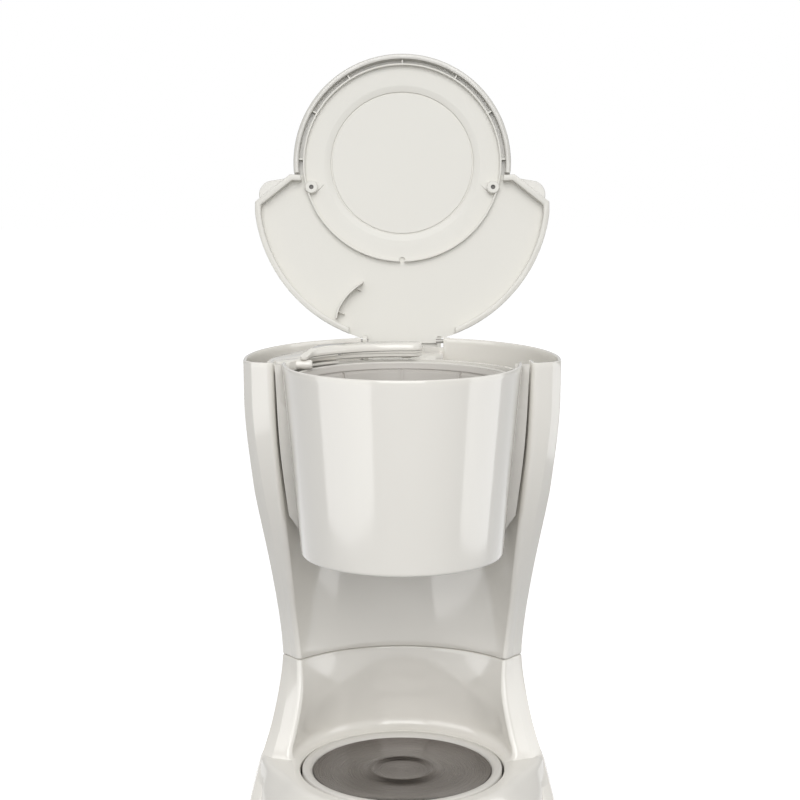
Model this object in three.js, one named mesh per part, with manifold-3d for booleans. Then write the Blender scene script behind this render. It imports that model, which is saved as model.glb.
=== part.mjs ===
// A drip coffee maker with a hinged lid, a swivel spout, a lift-out filter basket with its
// drip stop, and a heated plate. Millimetres, +Z up, the front faces -Y.
// Every piece is drawn about the filter's axis (x = 0, y = 0) with z = 0 under the feet;
// the whole group is then moved so that the origin lies under the middle of the machine.
import * as THREE from 'three';
import { mergeVertices } from 'three/addons/utils/BufferGeometryUtils.js';
import Module from 'manifold-3d';

const wasm = await Module();
wasm.setup();

// ---- driving dimensions -------------------------------------------------
const WALL = 2.4;
const GAP = 0.35;                 // running and seating gap between neighbours
const RIM_Z = 315;                // top edge of the body
const SEAM_Z = 100;               // joint between upper and lower housing, at the waist
const DECK_Z = 38;                // deck around the hot plate
const PLATE_R = 60.6;
const BASKET_R = 71.8;
const BASKET_TOP = 304;
const HOUSING_TOP = 305;          // rim of the fixed filter holder
const SHELL_Z = [188, 315];       // front cover, bottom and top
const SHELL_R = [67.2, 78.8];
const BACK_CENTRE_Y = 24;         // centre of the round back in plan
const HINGE_Y = 131;
const HINGE_Z = 311.8;
const LID_OPEN = 99.75;           // degrees from closed to the open stop
const LID_R = 79.5;
const LID_WING_R = 108.2;
const ARM_PIVOT = [-73.5, 54];
const ARM_R = [77.6, 94.4];       // inner and outer edge of the parked spout
const FILTER_AXIS_Y = -46.226;    // the filter's axis in the finished part's frame

// The body's outline changes with height. Each list is [z, value] and is read on a smooth curve.
const HALF_WIDTH = [[3, 106.5], [20, 102.6], [56, 91.4], [85, 86], [105, 85], [160, 90.4],
  [225, 100], [275, 105.3], [RIM_Z, 105.8]];
const INNER_EDGE = [[DECK_Z, 78], [52, 74], [80, 70.2], [118, 73.6], [200, 79], [260, 83.2], [RIM_Z, 84.4]];
const FRONT_EDGE = [[DECK_Z, 9], [66, 24], [105, 40], [170, 26], [250, 6], [RIM_Z, -4]];
const BACK_EDGE = [[3, 126], [105, 121], [220, 128], [RIM_Z, 130.4]];
const BAY_DEPTH = [[DECK_Z, 77], [105, 73.4], [190, 80], [RIM_Z, 84.4]];
const BASE_FRONT = [[3, -92], [20, -88], [DECK_Z, -79]];
const BASE_SIDE = [[3, 101], [20, 93], [DECK_Z, 79]];

// ---- finishes -----------------------------------------------------------
const finish = (color, roughness, metalness = 0) =>
  new THREE.MeshStandardMaterial({ color, roughness, metalness });
const WHITE = finish(0xe9e7e1, 0.28);
const SATIN = finish(0xdeddd7, 0.45);
const GREY = finish(0xb9b7b2, 0.4);
const STEEL = finish(0x9a9894, 0.35, 1);
const BRIGHT = finish(0xc9c9c9, 0.25, 1);
const ALUMINIUM = finish(0xb4b6b8, 0.4, 1);
const RUBBER = finish(0x3a3a3a, 0.85);
const SILICONE = finish(0xd8d4cc, 0.6);
const CERAMIC = finish(0xe4e0d6, 0.7);
const CLEAR = finish(0xcfd8dc, 0.15);

// ---- solids -------------------------------------------------------------
function solid(geometry) {
  const g = geometry.clone();
  for (const name of ['normal', 'uv', 'color']) g.deleteAttribute(name);
  const merged = mergeVertices(g, 1e-4);
  return new wasm.Manifold(new wasm.Mesh({
    numProp: 3,
    vertProperties: new Float32Array(merged.attributes.position.array),
    triVerts: new Uint32Array(merged.index.array),
  }));
}

function toGeometry(manifold) {
  const m = manifold.getMesh();
  const g = new THREE.BufferGeometry();
  g.setAttribute('position', new THREE.BufferAttribute(m.vertProperties, 3));
  g.setIndex(new THREE.BufferAttribute(m.triVerts, 1));
  g.computeVertexNormals();
  return g;
}

const shapeOf = points => new THREE.Shape(points.map(([x, y]) => new THREE.Vector2(x, y)));

/** An upright prism over a plan outline. */
function prism(points, z0, z1) {
  const g = new THREE.ExtrudeGeometry(shapeOf(points), { depth: z1 - z0, bevelEnabled: false });
  return solid(g.translate(0, 0, z0));
}

/** A turned piece about a vertical axis, from a closed [r, z] profile. */
function turned(profile, segments = 48, x = 0, y = 0) {
  const pts = profile.map(([r, z]) => new THREE.Vector2(r, z));
  if (THREE.ShapeUtils.isClockWise(pts)) pts.reverse();
  pts.push(pts[0].clone());
  const g = new THREE.LatheGeometry(pts, segments).rotateX(Math.PI / 2);
  return solid(g.translate(x, y, 0));
}

const disc = (r, z0, z1, x = 0, y = 0, segments = 24) =>
  solid(new THREE.CylinderGeometry(r, r, z1 - z0, segments).rotateX(Math.PI / 2)
    .translate(x, y, (z0 + z1) / 2));

const block = (x0, x1, y0, y1, z0, z1) =>
  solid(new THREE.BoxGeometry(x1 - x0, y1 - y0, z1 - z0)
    .translate((x0 + x1) / 2, (y0 + y1) / 2, (z0 + z1) / 2));

/** A pin lying along X. */
const pinX = (r, x0, x1, y, z, segments = 20) =>
  solid(new THREE.CylinderGeometry(r, r, x1 - x0, segments).rotateZ(Math.PI / 2)
    .translate((x0 + x1) / 2, y, z));

/** A pin lying along Y. */
const pinY = (r, y0, y1, x, z, segments = 20) =>
  solid(new THREE.CylinderGeometry(r, r, y1 - y0, segments).translate(x, (y0 + y1) / 2, z));

/** A round bar or hose along a smooth path. */
function bar(points, r, steps, sides = 10) {
  const path = new THREE.CatmullRomCurve3(points.map(p => new THREE.Vector3(...p)));
  const ring = [];
  for (let i = 0; i < sides; i++) {
    const a = (2 * Math.PI * i) / sides;
    ring.push([r * Math.cos(a), r * Math.sin(a)]);
  }
  return solid(new THREE.ExtrudeGeometry(shapeOf(ring), { steps, extrudePath: path }));
}

/** Sections with equal point counts, joined up the z axis and closed at both ends. */
function loft(sections) {
  const n = sections[0].points.length;
  const position = [];
  const index = [];
  for (const s of sections) for (const [x, y] of s.points) position.push(x, y, s.z);
  for (let k = 0; k + 1 < sections.length; k++) {
    for (let i = 0; i < n; i++) {
      const a = k * n + i;
      const b = k * n + ((i + 1) % n);
      index.push(a, b, b + n, a, b + n, a + n);
    }
  }
  const cap = (s, base, up) => {
    const flat = s.points.map(([x, y]) => new THREE.Vector2(x, y));
    for (const [a, b, c] of THREE.ShapeUtils.triangulateShape(flat, [])) {
      index.push(base + a, base + (up ? b : c), base + (up ? c : b));
    }
  };
  cap(sections[0], 0, false);
  cap(sections[sections.length - 1], (sections.length - 1) * n, true);
  const g = new THREE.BufferGeometry();
  g.setAttribute('position', new THREE.Float32BufferAttribute(position, 3));
  g.setIndex(index);
  return solid(g);
}

/** Reads a [z, value] list on a smooth curve. */
function along(list, z) {
  if (z <= list[0][0]) return list[0][1];
  const last = list.length - 1;
  if (z >= list[last][0]) return list[last][1];
  let i = 0;
  while (z > list[i + 1][0]) i++;
  const slope = k => {
    const lo = list[Math.max(k - 1, 0)], hi = list[Math.min(k + 1, last)];
    return (hi[1] - lo[1]) / (hi[0] - lo[0]);
  };
  const [z0, v0] = list[i], [z1, v1] = list[i + 1];
  const h = z1 - z0, t = (z - z0) / h;
  const m0 = slope(i) * h, m1 = slope(i + 1) * h;
  return (2 * t ** 3 - 3 * t ** 2 + 1) * v0 + (t ** 3 - 2 * t ** 2 + t) * m0
    + (3 * t ** 2 - 2 * t ** 3) * v1 + (t ** 3 - t ** 2) * m1;
}

/** Points on an arc, angles in degrees, both ends included. */
function arc(cx, cy, rx, ry, a0, a1, n) {
  const out = [];
  for (let i = 0; i <= n; i++) {
    const a = THREE.MathUtils.degToRad(a0 + ((a1 - a0) * i) / n);
    out.push([cx + rx * Math.cos(a), cy + ry * Math.sin(a)]);
  }
  return out;
}

/** Moves each side of an outline inwards by the same distance. */
function inset(points, by) {
  const n = points.length;
  return points.map(([x, y], i) => {
    const [px, py] = points[(i + n - 1) % n], [nx, ny] = points[(i + 1) % n];
    const unit = (dx, dy) => [dx / Math.hypot(dx, dy), dy / Math.hypot(dx, dy)];
    const [ax, ay] = unit(x - px, y - py), [bx, by2] = unit(nx - x, ny - y);
    const [mx, my] = unit(-(ay + by2), ax + bx);
    const cosHalf = Math.max(0.45, mx * -by2 + my * bx);
    return [x + (mx * by) / cosHalf, y + (my * by) / cosHalf];
  });
}

// ---- the body's plan outlines --------------------------------------------
const BACK_STEPS = 10;
const BAY_STEPS = 12;
const FOOT_STEPS = 24;
const SIDE_BOW = 1.6;              // how far a column's side curves in at its front

/** The outer side and round back, from the front corner at y = start to just short of the middle. */
function backHalf(z, start) {
  const w = along(HALF_WIDTH, z), depth = along(BACK_EDGE, z) - BACK_CENTRE_Y;
  const straight = Math.max(0, BACK_CENTRE_Y - start);
  const a0 = Math.asin(Math.max(0, start - BACK_CENTRE_Y) / depth);
  const curved = (Math.PI / 2 - a0) * (w + depth) / 2;
  const out = [];
  for (let i = 0; i < BACK_STEPS; i++) {
    const s = ((straight + curved) * i) / BACK_STEPS;
    if (s < straight) {
      out.push([w - SIDE_BOW * (1 - s / straight) ** 2, start + s]);
    } else {
      const a = a0 + ((Math.PI / 2 - a0) * (s - straight)) / curved;
      out.push([(w * Math.cos(a)) / Math.cos(a0), BACK_CENTRE_Y + depth * Math.sin(a)]);
    }
  }
  return out;
}

/** The horseshoe above the deck: two columns, the round back and the jug bay's hollow wall. */
function horseshoe(z) {
  const w = along(HALF_WIDTH, z), a = along(INNER_EDGE, z);
  const front = along(FRONT_EDGE, z), depth = along(BAY_DEPTH, z);
  const lean = 8 + 6 * Math.max(0, 1 - Math.abs(z - 105) / 120);
  const right = [[a, front], [w - 7, front + lean * 0.62], ...backHalf(z, front + lean)];
  const half = depth - front;
  const r = (a * a + half * half) / (2 * half);
  const open = THREE.MathUtils.radToDeg(Math.asin(Math.min(1, a / r)));
  const spread = half > r ? 180 - open : open;
  const bay = arc(0, depth - r, r, r, 90 + spread, 90 - spread, BAY_STEPS).slice(1, -1);
  return [...right, [0, along(BACK_EDGE, z)], ...right.slice().reverse().map(([x, y]) => [-x, y]), ...bay];
}

/** Distance from the filter's axis to an ellipse about (0, cy), looking along the angle a. */
function reach(a, cy, rx, ry) {
  const c = Math.cos(a) / rx, s = Math.sin(a) / ry, k = cy / ry;
  const qa = c * c + s * s, qb = -2 * s * k, qc = k * k - 1;
  return (-qb + Math.sqrt(qb * qb - 4 * qa * qc)) / (2 * qa);
}

/** The closed outline of the foot: round in front of the plate, swelling into the round back. */
function foot(z) {
  const w = along(HALF_WIDTH, z), side = along(BASE_SIDE, z), nose = -along(BASE_FRONT, z);
  const right = [];
  for (let i = 1; i < FOOT_STEPS; i++) {
    const a = THREE.MathUtils.degToRad(-90 + (180 * i) / FOOT_STEPS);
    const t = THREE.MathUtils.smoothstep(THREE.MathUtils.radToDeg(a), -22, 14);
    const depth = a > 0 ? along(BACK_EDGE, z) - BACK_CENTRE_Y : nose + BACK_CENTRE_Y;
    const r = (1 - t) * reach(a, 0, side, nose) + t * reach(a, BACK_CENTRE_Y, w, depth);
    right.push([r * Math.cos(a), r * Math.sin(a)]);
  }
  return [[0, -nose], ...right, [0, along(BACK_EDGE, z)],
    ...right.slice().reverse().map(([x, y]) => [-x, y])];
}

const levels = (z0, z1, n) => Array.from({ length: n + 1 }, (_, i) => z0 + ((z1 - z0) * i) / n);
const section = (outline, z, by = 0) => ({ z, points: by ? inset(outline(z), by) : outline(z) });

// ---- body ----------------------------------------------------------------
const OUTLET = [40, 91];          // hole in the tank's floor for the outlet valve
const RISER_FOOT = [-46, 92];     // where the riser tube passes the tank's floor
const TANK_FLOOR = SEAM_Z + 3;

function upperHousing() {
  const outer = loft(levels(SEAM_Z, RIM_Z, 7).map(z => section(horseshoe, z)));
  const hollow = loft([...levels(TANK_FLOOR, RIM_Z - 1, 7), RIM_Z + 2]
    .map(z => ({ z, points: inset(horseshoe(z), WALL) })));
  let m = outer.subtract(hollow);
  m = m.subtract(disc(92, HOUSING_TOP, RIM_Z + 1, 0, 0, 48).intersect(block(-92, 92, 12, 100, 300, 320)));
  const deck = block(-29, 29, 86, 117, HOUSING_TOP - 2.4, HOUSING_TOP)
    .add(block(-29, -26.8, 86, 129.5, 262, HOUSING_TOP))
    .add(block(26.8, 29, 86, 129.5, 262, HOUSING_TOP));
  m = m.add(deck.add(disc(8.5, 278, HOUSING_TOP, ...ARM_PIVOT)).intersect(outer));
  m = m.subtract(disc(4 + GAP, 270, RIM_Z, ...ARM_PIVOT));
  m = m.subtract(block(-29.7, 29.7, 118, 140, 308, RIM_Z + 1));
  for (const s of [-1, 1]) {
    const x0 = s > 0 ? 30 : -34.6, x1 = s > 0 ? 34.6 : -30;
    m = m.add(block(x0, x1, 123, 131, 303, 314.8).add(pinX(4, x0, x1, HINGE_Y, 310.8)));
    m = m.subtract(pinX(1.6 + GAP, x0 - 1, x1 + 1, HINGE_Y, HINGE_Z));
  }
  m = m.subtract(disc(5.4, SEAM_Z - 1, TANK_FLOOR + 1, ...OUTLET));
  m = m.subtract(disc(4.9, SEAM_Z - 1, TANK_FLOOR + 1, ...RISER_FOOT));
  m = m.subtract(windowSlot(0));
  return m;
}

function baseHousing() {
  const top = SEAM_Z - GAP;
  const column = loft(levels(30, top, 5).map(z => ({ z, points: horseshoe(Math.max(z, DECK_Z)) })));
  const deck = loft([3.6, 16, 28, DECK_Z].map(z => section(foot, z)));
  const inColumn = loft(levels(30, top - WALL, 5).map(z =>
    ({ z, points: inset(horseshoe(Math.max(z, DECK_Z)), WALL) })));
  const inDeck = loft([2, 16, 28, DECK_Z - WALL].map(z => section(foot, z, WALL)));
  let m = column.add(deck).subtract(inColumn.add(inDeck));
  m = m.subtract(disc(PLATE_R + 7.6, 30, 45, 0, 0, 40));
  m = m.subtract(disc(6.5, top - 5, top + 1, ...OUTLET));
  m = m.subtract(disc(6, top - 5, top + 1, ...RISER_FOOT));
  m = m.subtract(block(-17.3, 17.3, -100, -70, 8.7, 25.3));
  m = m.subtract(pinY(5 + GAP, 110, 140, ...INLET));
  for (const [x, y] of SCREWS) m = m.subtract(disc(2, 0, 9, x, y, 12));
  return m;
}

function bottomCover() {
  const plate = loft([3.6, 5.6].map(z => ({ z, points: inset(foot(z), WALL + 0.5) })));
  let m = plate;
  for (const [x, y] of SCREWS) m = m.add(disc(5, 5.6, 9, x, y, 16)).subtract(disc(2, 3, 10, x, y, 12));
  for (const [x, y] of FEET) m = m.subtract(disc(4 + GAP, 3, 6, x, y, 16));
  return m;
}

// ---- filter holder and front cover ------------------------------------------
/** Outer radius of the front cover's cone at a height. */
function shellRadius(z) {
  const t = (z - SHELL_Z[0]) / (SHELL_Z[1] - SHELL_Z[0]);
  return SHELL_R[0] + (SHELL_R[1] - SHELL_R[0]) * t;
}

function frontShell() {
  const [z0, z1] = SHELL_Z;
  const ring = turned([[shellRadius(z0) - 2.4, z0], [shellRadius(z0), z0],
    [shellRadius(z1), z1], [shellRadius(z1) - 2.4, z1]], 48);
  return ring.intersect(block(-90, 90, -90, 3, z0 - 5, z1 + 5));
}

/** Half the jug bay's width at a height and a depth. */
function bayHalfWidth(z, y) {
  const a = along(INNER_EDGE, z), depth = along(BAY_DEPTH, z), half = depth - along(FRONT_EDGE, z);
  const r = (a * a + half * half) / (2 * half);
  return Math.sqrt(r * r - (y - depth + r) ** 2);
}

const WING_DEPTH = 5.5;            // thickness of the holder's side wings, front to back
const WING_TOP = RIM_Z - 1.5;

function filterHousing() {
  const z0 = 194, r = z => shellRadius(z) - 2.4 - 0.7;
  const cup = turned([[13, z0], [r(z0), z0], [r(HOUSING_TOP), HOUSING_TOP],
    [r(HOUSING_TOP) - 1.8, HOUSING_TOP], [r(z0 + 2) - 1.8, z0 + 2], [13, z0 + 2]], 48);
  const core = turned([[0, z0], [r(z0) - 0.9, z0], [r(RIM_Z) - 0.9, RIM_Z], [0, RIM_Z]], 48);
  const cover = turned([[0, SHELL_Z[0]], [SHELL_R[0] + GAP, SHELL_Z[0]], [SHELL_R[1] + GAP, SHELL_Z[1]],
    [0, SHELL_Z[1]]], 48).intersect(block(-90, 90, -90, 3 + GAP, 180, 320));
  const wings = loft([197, 208, 225, 245, 265, 285, 303, WING_TOP].map(z => {
    const front = along(FRONT_EDGE, z) + 3;
    const half = z < 200 ? 69.5 : bayHalfWidth(z, front + WING_DEPTH) - 5 * GAP;
    const back = front + WING_DEPTH;
    return { z, points: [[-half, front], [half, front], [half, back], [-half, back]] };
  }));
  return cup.add(wings.subtract(core).subtract(cover));
}

// ---- basket and drip stop ---------------------------------------------------
const BASKET_FLOOR = 199;

function filterBasket() {
  const wallAt = z => 51 + ((69.2 - 51) * (z - BASKET_FLOOR)) / (299 - BASKET_FLOOR);
  const t = 1.6;
  let m = turned([[5, 196.6], [9, 196.6], [9, BASKET_FLOOR], [wallAt(BASKET_FLOOR), BASKET_FLOOR],
    [wallAt(299), 299], [BASKET_R - 0.2, 300], [BASKET_R, BASKET_TOP], [BASKET_R - t, BASKET_TOP],
    [BASKET_R - t - 0.2, 301.4], [wallAt(299) - t, 300.2], [wallAt(BASKET_FLOOR) - t, BASKET_FLOOR + t],
    [5, BASKET_FLOOR + t]], 48);
  for (let i = 0; i < 10; i++) {
    const rib = loft([[BASKET_FLOOR + 0.5, 44, 50.4], [299.6, 64.6, 68.6]].map(([z, r0, r1]) =>
      ({ z, points: [[r0, -0.7], [r1, -0.7], [r1, 0.7], [r0, 0.7]] })));
    m = m.add(rib.rotate([0, 0, 90 + 36 * i]));
  }
  return m;
}

function dripGuide() {
  let m = turned([[9, 201], [11.5, 201], [11.5, 202.6], [9, 202.6]], 24)
    .add(turned([[2.6, 214], [11.5, 214], [11.5, 215.6], [2.6, 215.6]], 24));
  for (let i = 0; i < 3; i++) m = m.add(block(9.2, 11.2, -1.5, 1.5, 202, 215).rotate([0, 0, 120 * i]));
  return m;
}

const dripStem = () => turned([[0, 184], [8.5, 184], [8.5, 185.6], [3.4, 187.4], [3.4, 204.6],
  [2, 205.6], [2, 219], [0, 219]], 24);
const dripSeal = () => turned([[3.8, 201], [8, 201], [8, 203], [3.8, 203]], 24);

function dripSpring() {
  const points = [];
  const turns = 4, steps = 10;
  for (let i = 0; i <= turns * steps; i++) {
    const a = (2 * Math.PI * i) / steps;
    points.push([6 * Math.cos(a), 6 * Math.sin(a), 204 + (9 * i) / (turns * steps)]);
  }
  return bar(points, 0.5, 36, 5);
}

// ---- spout ---------------------------------------------------------------------
const CAP_Z = [HOUSING_TOP + GAP, 306.8, 311.7];   // riser cap: bottom, bed under the spout, top

/** A curved arm in plan, round at both ends, which leaves its circle to reach the pivot at a1. */
function sickle(inner, outer, a0, a1, n = 14) {
  const mid = (inner + outer) / 2, r = (outer - inner) / 2;
  const drift = Math.hypot(...ARM_PIVOT) - (ARM_R[0] + ARM_R[1]) / 2;
  const at = (radius, a) => {
    const t = (a - a0) / (a1 - a0), q = THREE.MathUtils.degToRad(a);
    return [(radius + drift * t * t) * Math.cos(q), (radius + drift * t * t) * Math.sin(q)];
  };
  const edge = (radius, from, to) => levels(from, to, n).map(a => at(radius, a));
  const tip = arc(...at(mid, a0), r, r, a0 - 180, a0, 6);
  const root = arc(...at(mid, a1), r, r, a1, a1 + 180, 6);
  return [...tip.slice(0, -1), ...edge(outer, a0, a1), ...root.slice(1, -1),
    ...edge(inner, a1, a0).slice(0, -1)];
}

const ARM_ROOT_ANGLE = THREE.MathUtils.radToDeg(Math.atan2(ARM_PIVOT[1], ARM_PIVOT[0]));
const ARM_TIP_ANGLE = 86;

/** The spout's top in plan: a round tip, and a tapered root that ends beside the cap's nose. */
function spoutPlan() {
  const mid = (ARM_R[0] + ARM_R[1]) / 2, r = (ARM_R[1] - ARM_R[0]) / 2;
  const q = THREE.MathUtils.degToRad(ARM_TIP_ANGLE);
  const tip = arc(mid * Math.cos(q), mid * Math.sin(q), r, r, ARM_TIP_ANGLE - 180, ARM_TIP_ANGLE, 8);
  const outer = arc(0, 0, ARM_R[1], ARM_R[1], ARM_TIP_ANGLE, 127, 8);
  const root = [[-59.6, 72], [-61.2, 68.5], [-64.5, 54], [-69.5, 36.5], [-68, 32.5], [-63.5, 32],
    [-61.2, 38]];
  const inner = arc(0, 0, ARM_R[0], ARM_R[0], 141, ARM_TIP_ANGLE, 9).slice(0, -1);
  return [...tip.slice(0, -1), ...outer, ...root, ...inner];
}

function armTop() {
  const plan = spoutPlan();
  return loft([[CAP_Z[2] + GAP, 0], [314.6, 0], [316.1, 0.7], [316.8, 1.6]].map(([z, by]) =>
    ({ z, points: by ? inset(plan, by) : plan })));
}

function armBottom() {
  const mid = (ARM_R[0] + ARM_R[1]) / 2;
  const a = THREE.MathUtils.degToRad(ARM_TIP_ANGLE + 2);
  const nozzle = [mid * Math.cos(a), mid * Math.sin(a)];
  const plan = sickle(ARM_R[0] + 0.6, ARM_R[1] - 0.6, ARM_TIP_ANGLE, ARM_ROOT_ANGLE);
  return prism(plan, 307.2, 310.3)
    .add(prism(plan, 310, CAP_Z[2]).intersect(block(-42, 30, 60, 100, 309, 313)))
    .add(disc(3.6, 306.2, 308, ...nozzle, 16))
    .add(disc(3.2, 297, 308, ...ARM_PIVOT, 20));
}

// ---- riser cap and water path -----------------------------------------------------
/** The tank's corner cap: a bed under the spout's root, a roof over it and a nose beside it. */
function riserCap() {
  const [low, bed, high] = CAP_Z;
  const plan = [...arc(0, BACK_CENTRE_Y, 91, 91, 176, 130, 10), ...arc(0, 0, 78.6, 78.6, 124, 163, 8)];
  const roofUnder = high - 1;
  const parked = prism(sickle(ARM_R[0] - 3, ARM_R[1] + 1.2, ARM_TIP_ANGLE, ARM_ROOT_ANGLE), bed, roofUnder);
  const swept = prism(arc(0, 0, 86, 86, 60, 148, 12).concat([[0, 0]]), bed, roofUnder);
  const nose = pinX(3.2, -83, -60.5, 35.5, low + 3.2, 16);
  return prism(plan, low, high).subtract(parked.add(swept)).add(nose)
    .add(disc(11.5, low, bed, ...ARM_PIVOT, 24))
    .subtract(disc(3.2 + GAP, low - 1, bed + 1, ...ARM_PIVOT, 20));
}

const riserTube = () => bar([[RISER_FOOT[0], RISER_FOOT[1], 92], [RISER_FOOT[0], RISER_FOOT[1], 125],
  [-60, 74, 200], [...ARM_PIVOT, 255], [...ARM_PIVOT, 275], [...ARM_PIVOT, 294]], 4, 16, 8);

// ---- lid, drawn closed --------------------------------------------------------------
const LID_UNDER = 323;            // underside of the inner panel
const LID_SEAT = RIM_Z + 0.5;     // bottom of the rim walls
const WING_CORNER = [LID_WING_R - 0.8, 29];
const TAB_BACK = HINGE_Y + 4.2;
const CHAMFER = [82, 9];

/** The crescent behind the filter: two wings and the round back. */
function crescent(by = 0) {
  const r = LID_WING_R - by;
  const half = arc(0, BACK_CENTRE_Y + 0.2, r, r, 2.7, 90, 12).slice(0, -1);
  const circleMeet = [74.5 - by * 0.2, 9.5 + by * 1.0];
  const right = [circleMeet, [CHAMFER[0] - by * 0.35, CHAMFER[1] + by * 1.05],
    [WING_CORNER[0] - by, WING_CORNER[1] + by * 0.55], ...half.slice(1)];
  return [...right, [0, BACK_CENTRE_Y + 0.2 + r], ...right.slice().reverse().map(([x, y]) => [-x, y])];
}

function lidPanel() {
  const ringR = 72.7;
  const top = LID_UNDER + WALL;
  let m = prism(crescent(), LID_UNDER, top).add(disc(ringR, LID_UNDER, top, 0, 0, 40));
  const coverSkirt = disc(LID_R + 0.3, LID_SEAT - 1, LID_UNDER + 2, 0, 0, 40)
    .intersect(block(-80, 80, -90, 40, 300, 330));
  const wall = prism(crescent(), LID_SEAT, LID_UNDER + 1)
    .subtract(prism(crescent(4), LID_SEAT - 1, LID_UNDER + 2))
    .subtract(coverSkirt);
  m = m.add(wall.subtract(block(-39, 39, 110, 140, LID_SEAT - 1, LID_UNDER)));
  m = m.add(block(-28.6, 28.6, 122, TAB_BACK, LID_UNDER, LID_UNDER + 2.4));
  m = m.subtract(turned([[0, LID_UNDER - 1], [51.7, LID_UNDER - 1], [51.7, LID_UNDER + 1.2],
    [0, LID_UNDER + 1.2]], 40));
  m = m.add(turned([[ringR - 1.2, LID_UNDER - 4], [ringR, LID_UNDER - 4], [ringR, LID_UNDER + 1],
    [ringR - 1.2, LID_UNDER + 1]], 40));
  for (const s of [-1, 1]) {
    m = m.add(disc(4.7, LID_UNDER - 5, LID_UNDER + 1, s * 66.4, 18, 20));
    m = m.subtract(disc(1.5 + GAP, LID_UNDER - 6, LID_UNDER + 4, s * 66.4, 18, 12));
    m = m.subtract(disc(2.6 + GAP, LID_UNDER - 6, LID_UNDER - 1, s * 66.4, 18, 12));
    const x0 = s > 0 ? 25.6 : -28.6, x1 = s > 0 ? 28.6 : -25.6;
    m = m.add(block(x0, x1, HINGE_Y - 4, TAB_BACK, HINGE_Z, LID_UNDER + 1)
      .add(pinX(4, x0, x1, HINGE_Y - 0.6, HINGE_Z)));
    m = m.subtract(pinX(1.6 + GAP, x0 - 1, x1 + 1, HINGE_Y, HINGE_Z));
  }
  m = m.add(block(-25.6, 25.6, TAB_BACK - 3.2, TAB_BACK, LID_SEAT, LID_UNDER + 1));
  const blade = [[-28.4, 86.9], [-34.5, 91.4], [-40, 96.4], [-44.5, 102.4], [-47.5, 108.4], [-48.5, 114.4]];
  const heel = blade.slice(1, -1).reverse().map(([x, y]) => [x + 0.9, y + 0.7]);
  const outline = [...blade, ...heel];
  m = m.add(prism(outline, LID_UNDER - 9, LID_UNDER + 1));
  return m;
}

function lidCover() {
  const ear = [...arc(94, 21, 11, 11, -75, 35, 5)];
  const wing = LID_WING_R - 0.4;
  const right = [...arc(0, 0, LID_R, LID_R, 272, 367, 12), ...ear,
    ...arc(0, BACK_CENTRE_Y + 0.2, wing, wing, 6, 88, 10)];
  const plan = [...right, ...right.slice().reverse().map(([x, y]) => [-x, y])];
  const top = LID_UNDER + 2.4 + GAP;
  let m = loft([[top, 0], [top + 2.4, 0], [top + 4, 1.6], [top + 4.6, 3.6]].map(([z, by]) =>
    ({ z, points: inset(plan, by) })));
  const skirt = turned([[75.6, 317.5], [LID_R, 317.5], [LID_R, top + 1], [75.6, top + 1]], 40)
    .subtract(block(-90, 90, 8, 90, 300, top + 3));
  m = m.add(skirt);
  for (const s of [-1, 1]) m = m.subtract(disc(1.5 + GAP, top - 1, top + 2.4, s * 66.4, 18, 12));
  return m;
}

const lidScrew = s => disc(2.6, LID_UNDER - 3.4, LID_UNDER - 1.4, s * 66.4, 18, 12)
  .add(disc(1.5, LID_UNDER - 2, LID_UNDER + 4, s * 66.4, 18, 12));

// ---- base: heater, switch, feet -------------------------------------------------------
const SCREWS = [[-58, -48], [58, -48], [-66, 92], [66, 92]];
const INLET = [0, 16];             // x and height of the mains inlet in the back wall
const FEET = [[-66, -34], [66, -34], [-74, 84], [74, 84]];

function hotPlate() {
  const t = 1.4;
  return turned([[0, 36.2], [18.5, 36.2], [20, 37.2], [24, 37.2], [26, 35.8], [PLATE_R - 1, 37.2],
    [PLATE_R, 36.4], [PLATE_R, 30], [PLATE_R - t, 30], [PLATE_R - t, 35], [0, 34.4]], 40);
}

const plateRing = () => turned([[PLATE_R + GAP, 31], [PLATE_R + 7.2, 31], [PLATE_R + 7.2, 37.2],
  [PLATE_R + 6, 38.4], [PLATE_R + 2.5, 38.4], [PLATE_R + GAP, 37]], 40);

const arcPath = (r, z, a0, a1, n) => arc(0, 0, r, r, a0, a1, n).map(([x, y]) => [x, y, z]);
const heaterElement = () => bar(arcPath(40, 30, -215, 35, 14), 3.6, 24, 8);
const waterPipe = () => bar([[54, 66, 21.8], [46, 44, 21.8],
  ...arcPath(40, 21.8, 35, -215, 14).slice(1, -1),
  [-46, 44, 21.8], [-54, 66, 21.8]], 4.2, 30, 8);
const inletHose = () => bar([[OUTLET[0], OUTLET[1], 89], [OUTLET[0] + 2, OUTLET[1], 70], [52, 92, 40],
  [55, 78, 24], [55.6, 69.4, 21.8]], 5.2, 12, 8);
const riserHose = () => bar([[...RISER_FOOT, 91.5], [RISER_FOOT[0] - 2, RISER_FOOT[1], 70],
  [-54, 90, 40], [-56, 78, 24], [-55.6, 69.4, 21.8]], 5.2, 12, 8);

const outletValve = () => turned([[2.6, 89.5], [4.6, 89.5], [4.6, 103.5], [8, 103.5], [8, 105.5],
  [2.6, 105.5]], 20, ...OUTLET);

const thermostat = () => disc(8, 24.5, 33.9, 0, 8, 24).add(block(-2.5, 2.5, -3.5, 19.5, 22.6, 25));
const thermostatStrap = () => block(-3, 3, 20, 48, 32.2, 33.8).add(block(-3, 3, 20, 21.4, 24, 33));
const thermalFuse = x => pinY(2.6, -22, -6, x, 27, 12);

function switchFrame() {
  return block(-17, 17, -90.6, -80, 9, 25).subtract(block(-14.4, 14.4, -92, -82, 11, 23));
}
const SWITCH_AXIS = [-84.4, 17];  // y and height
const SWITCH_TILT = 7;            // degrees each side of level

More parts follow.
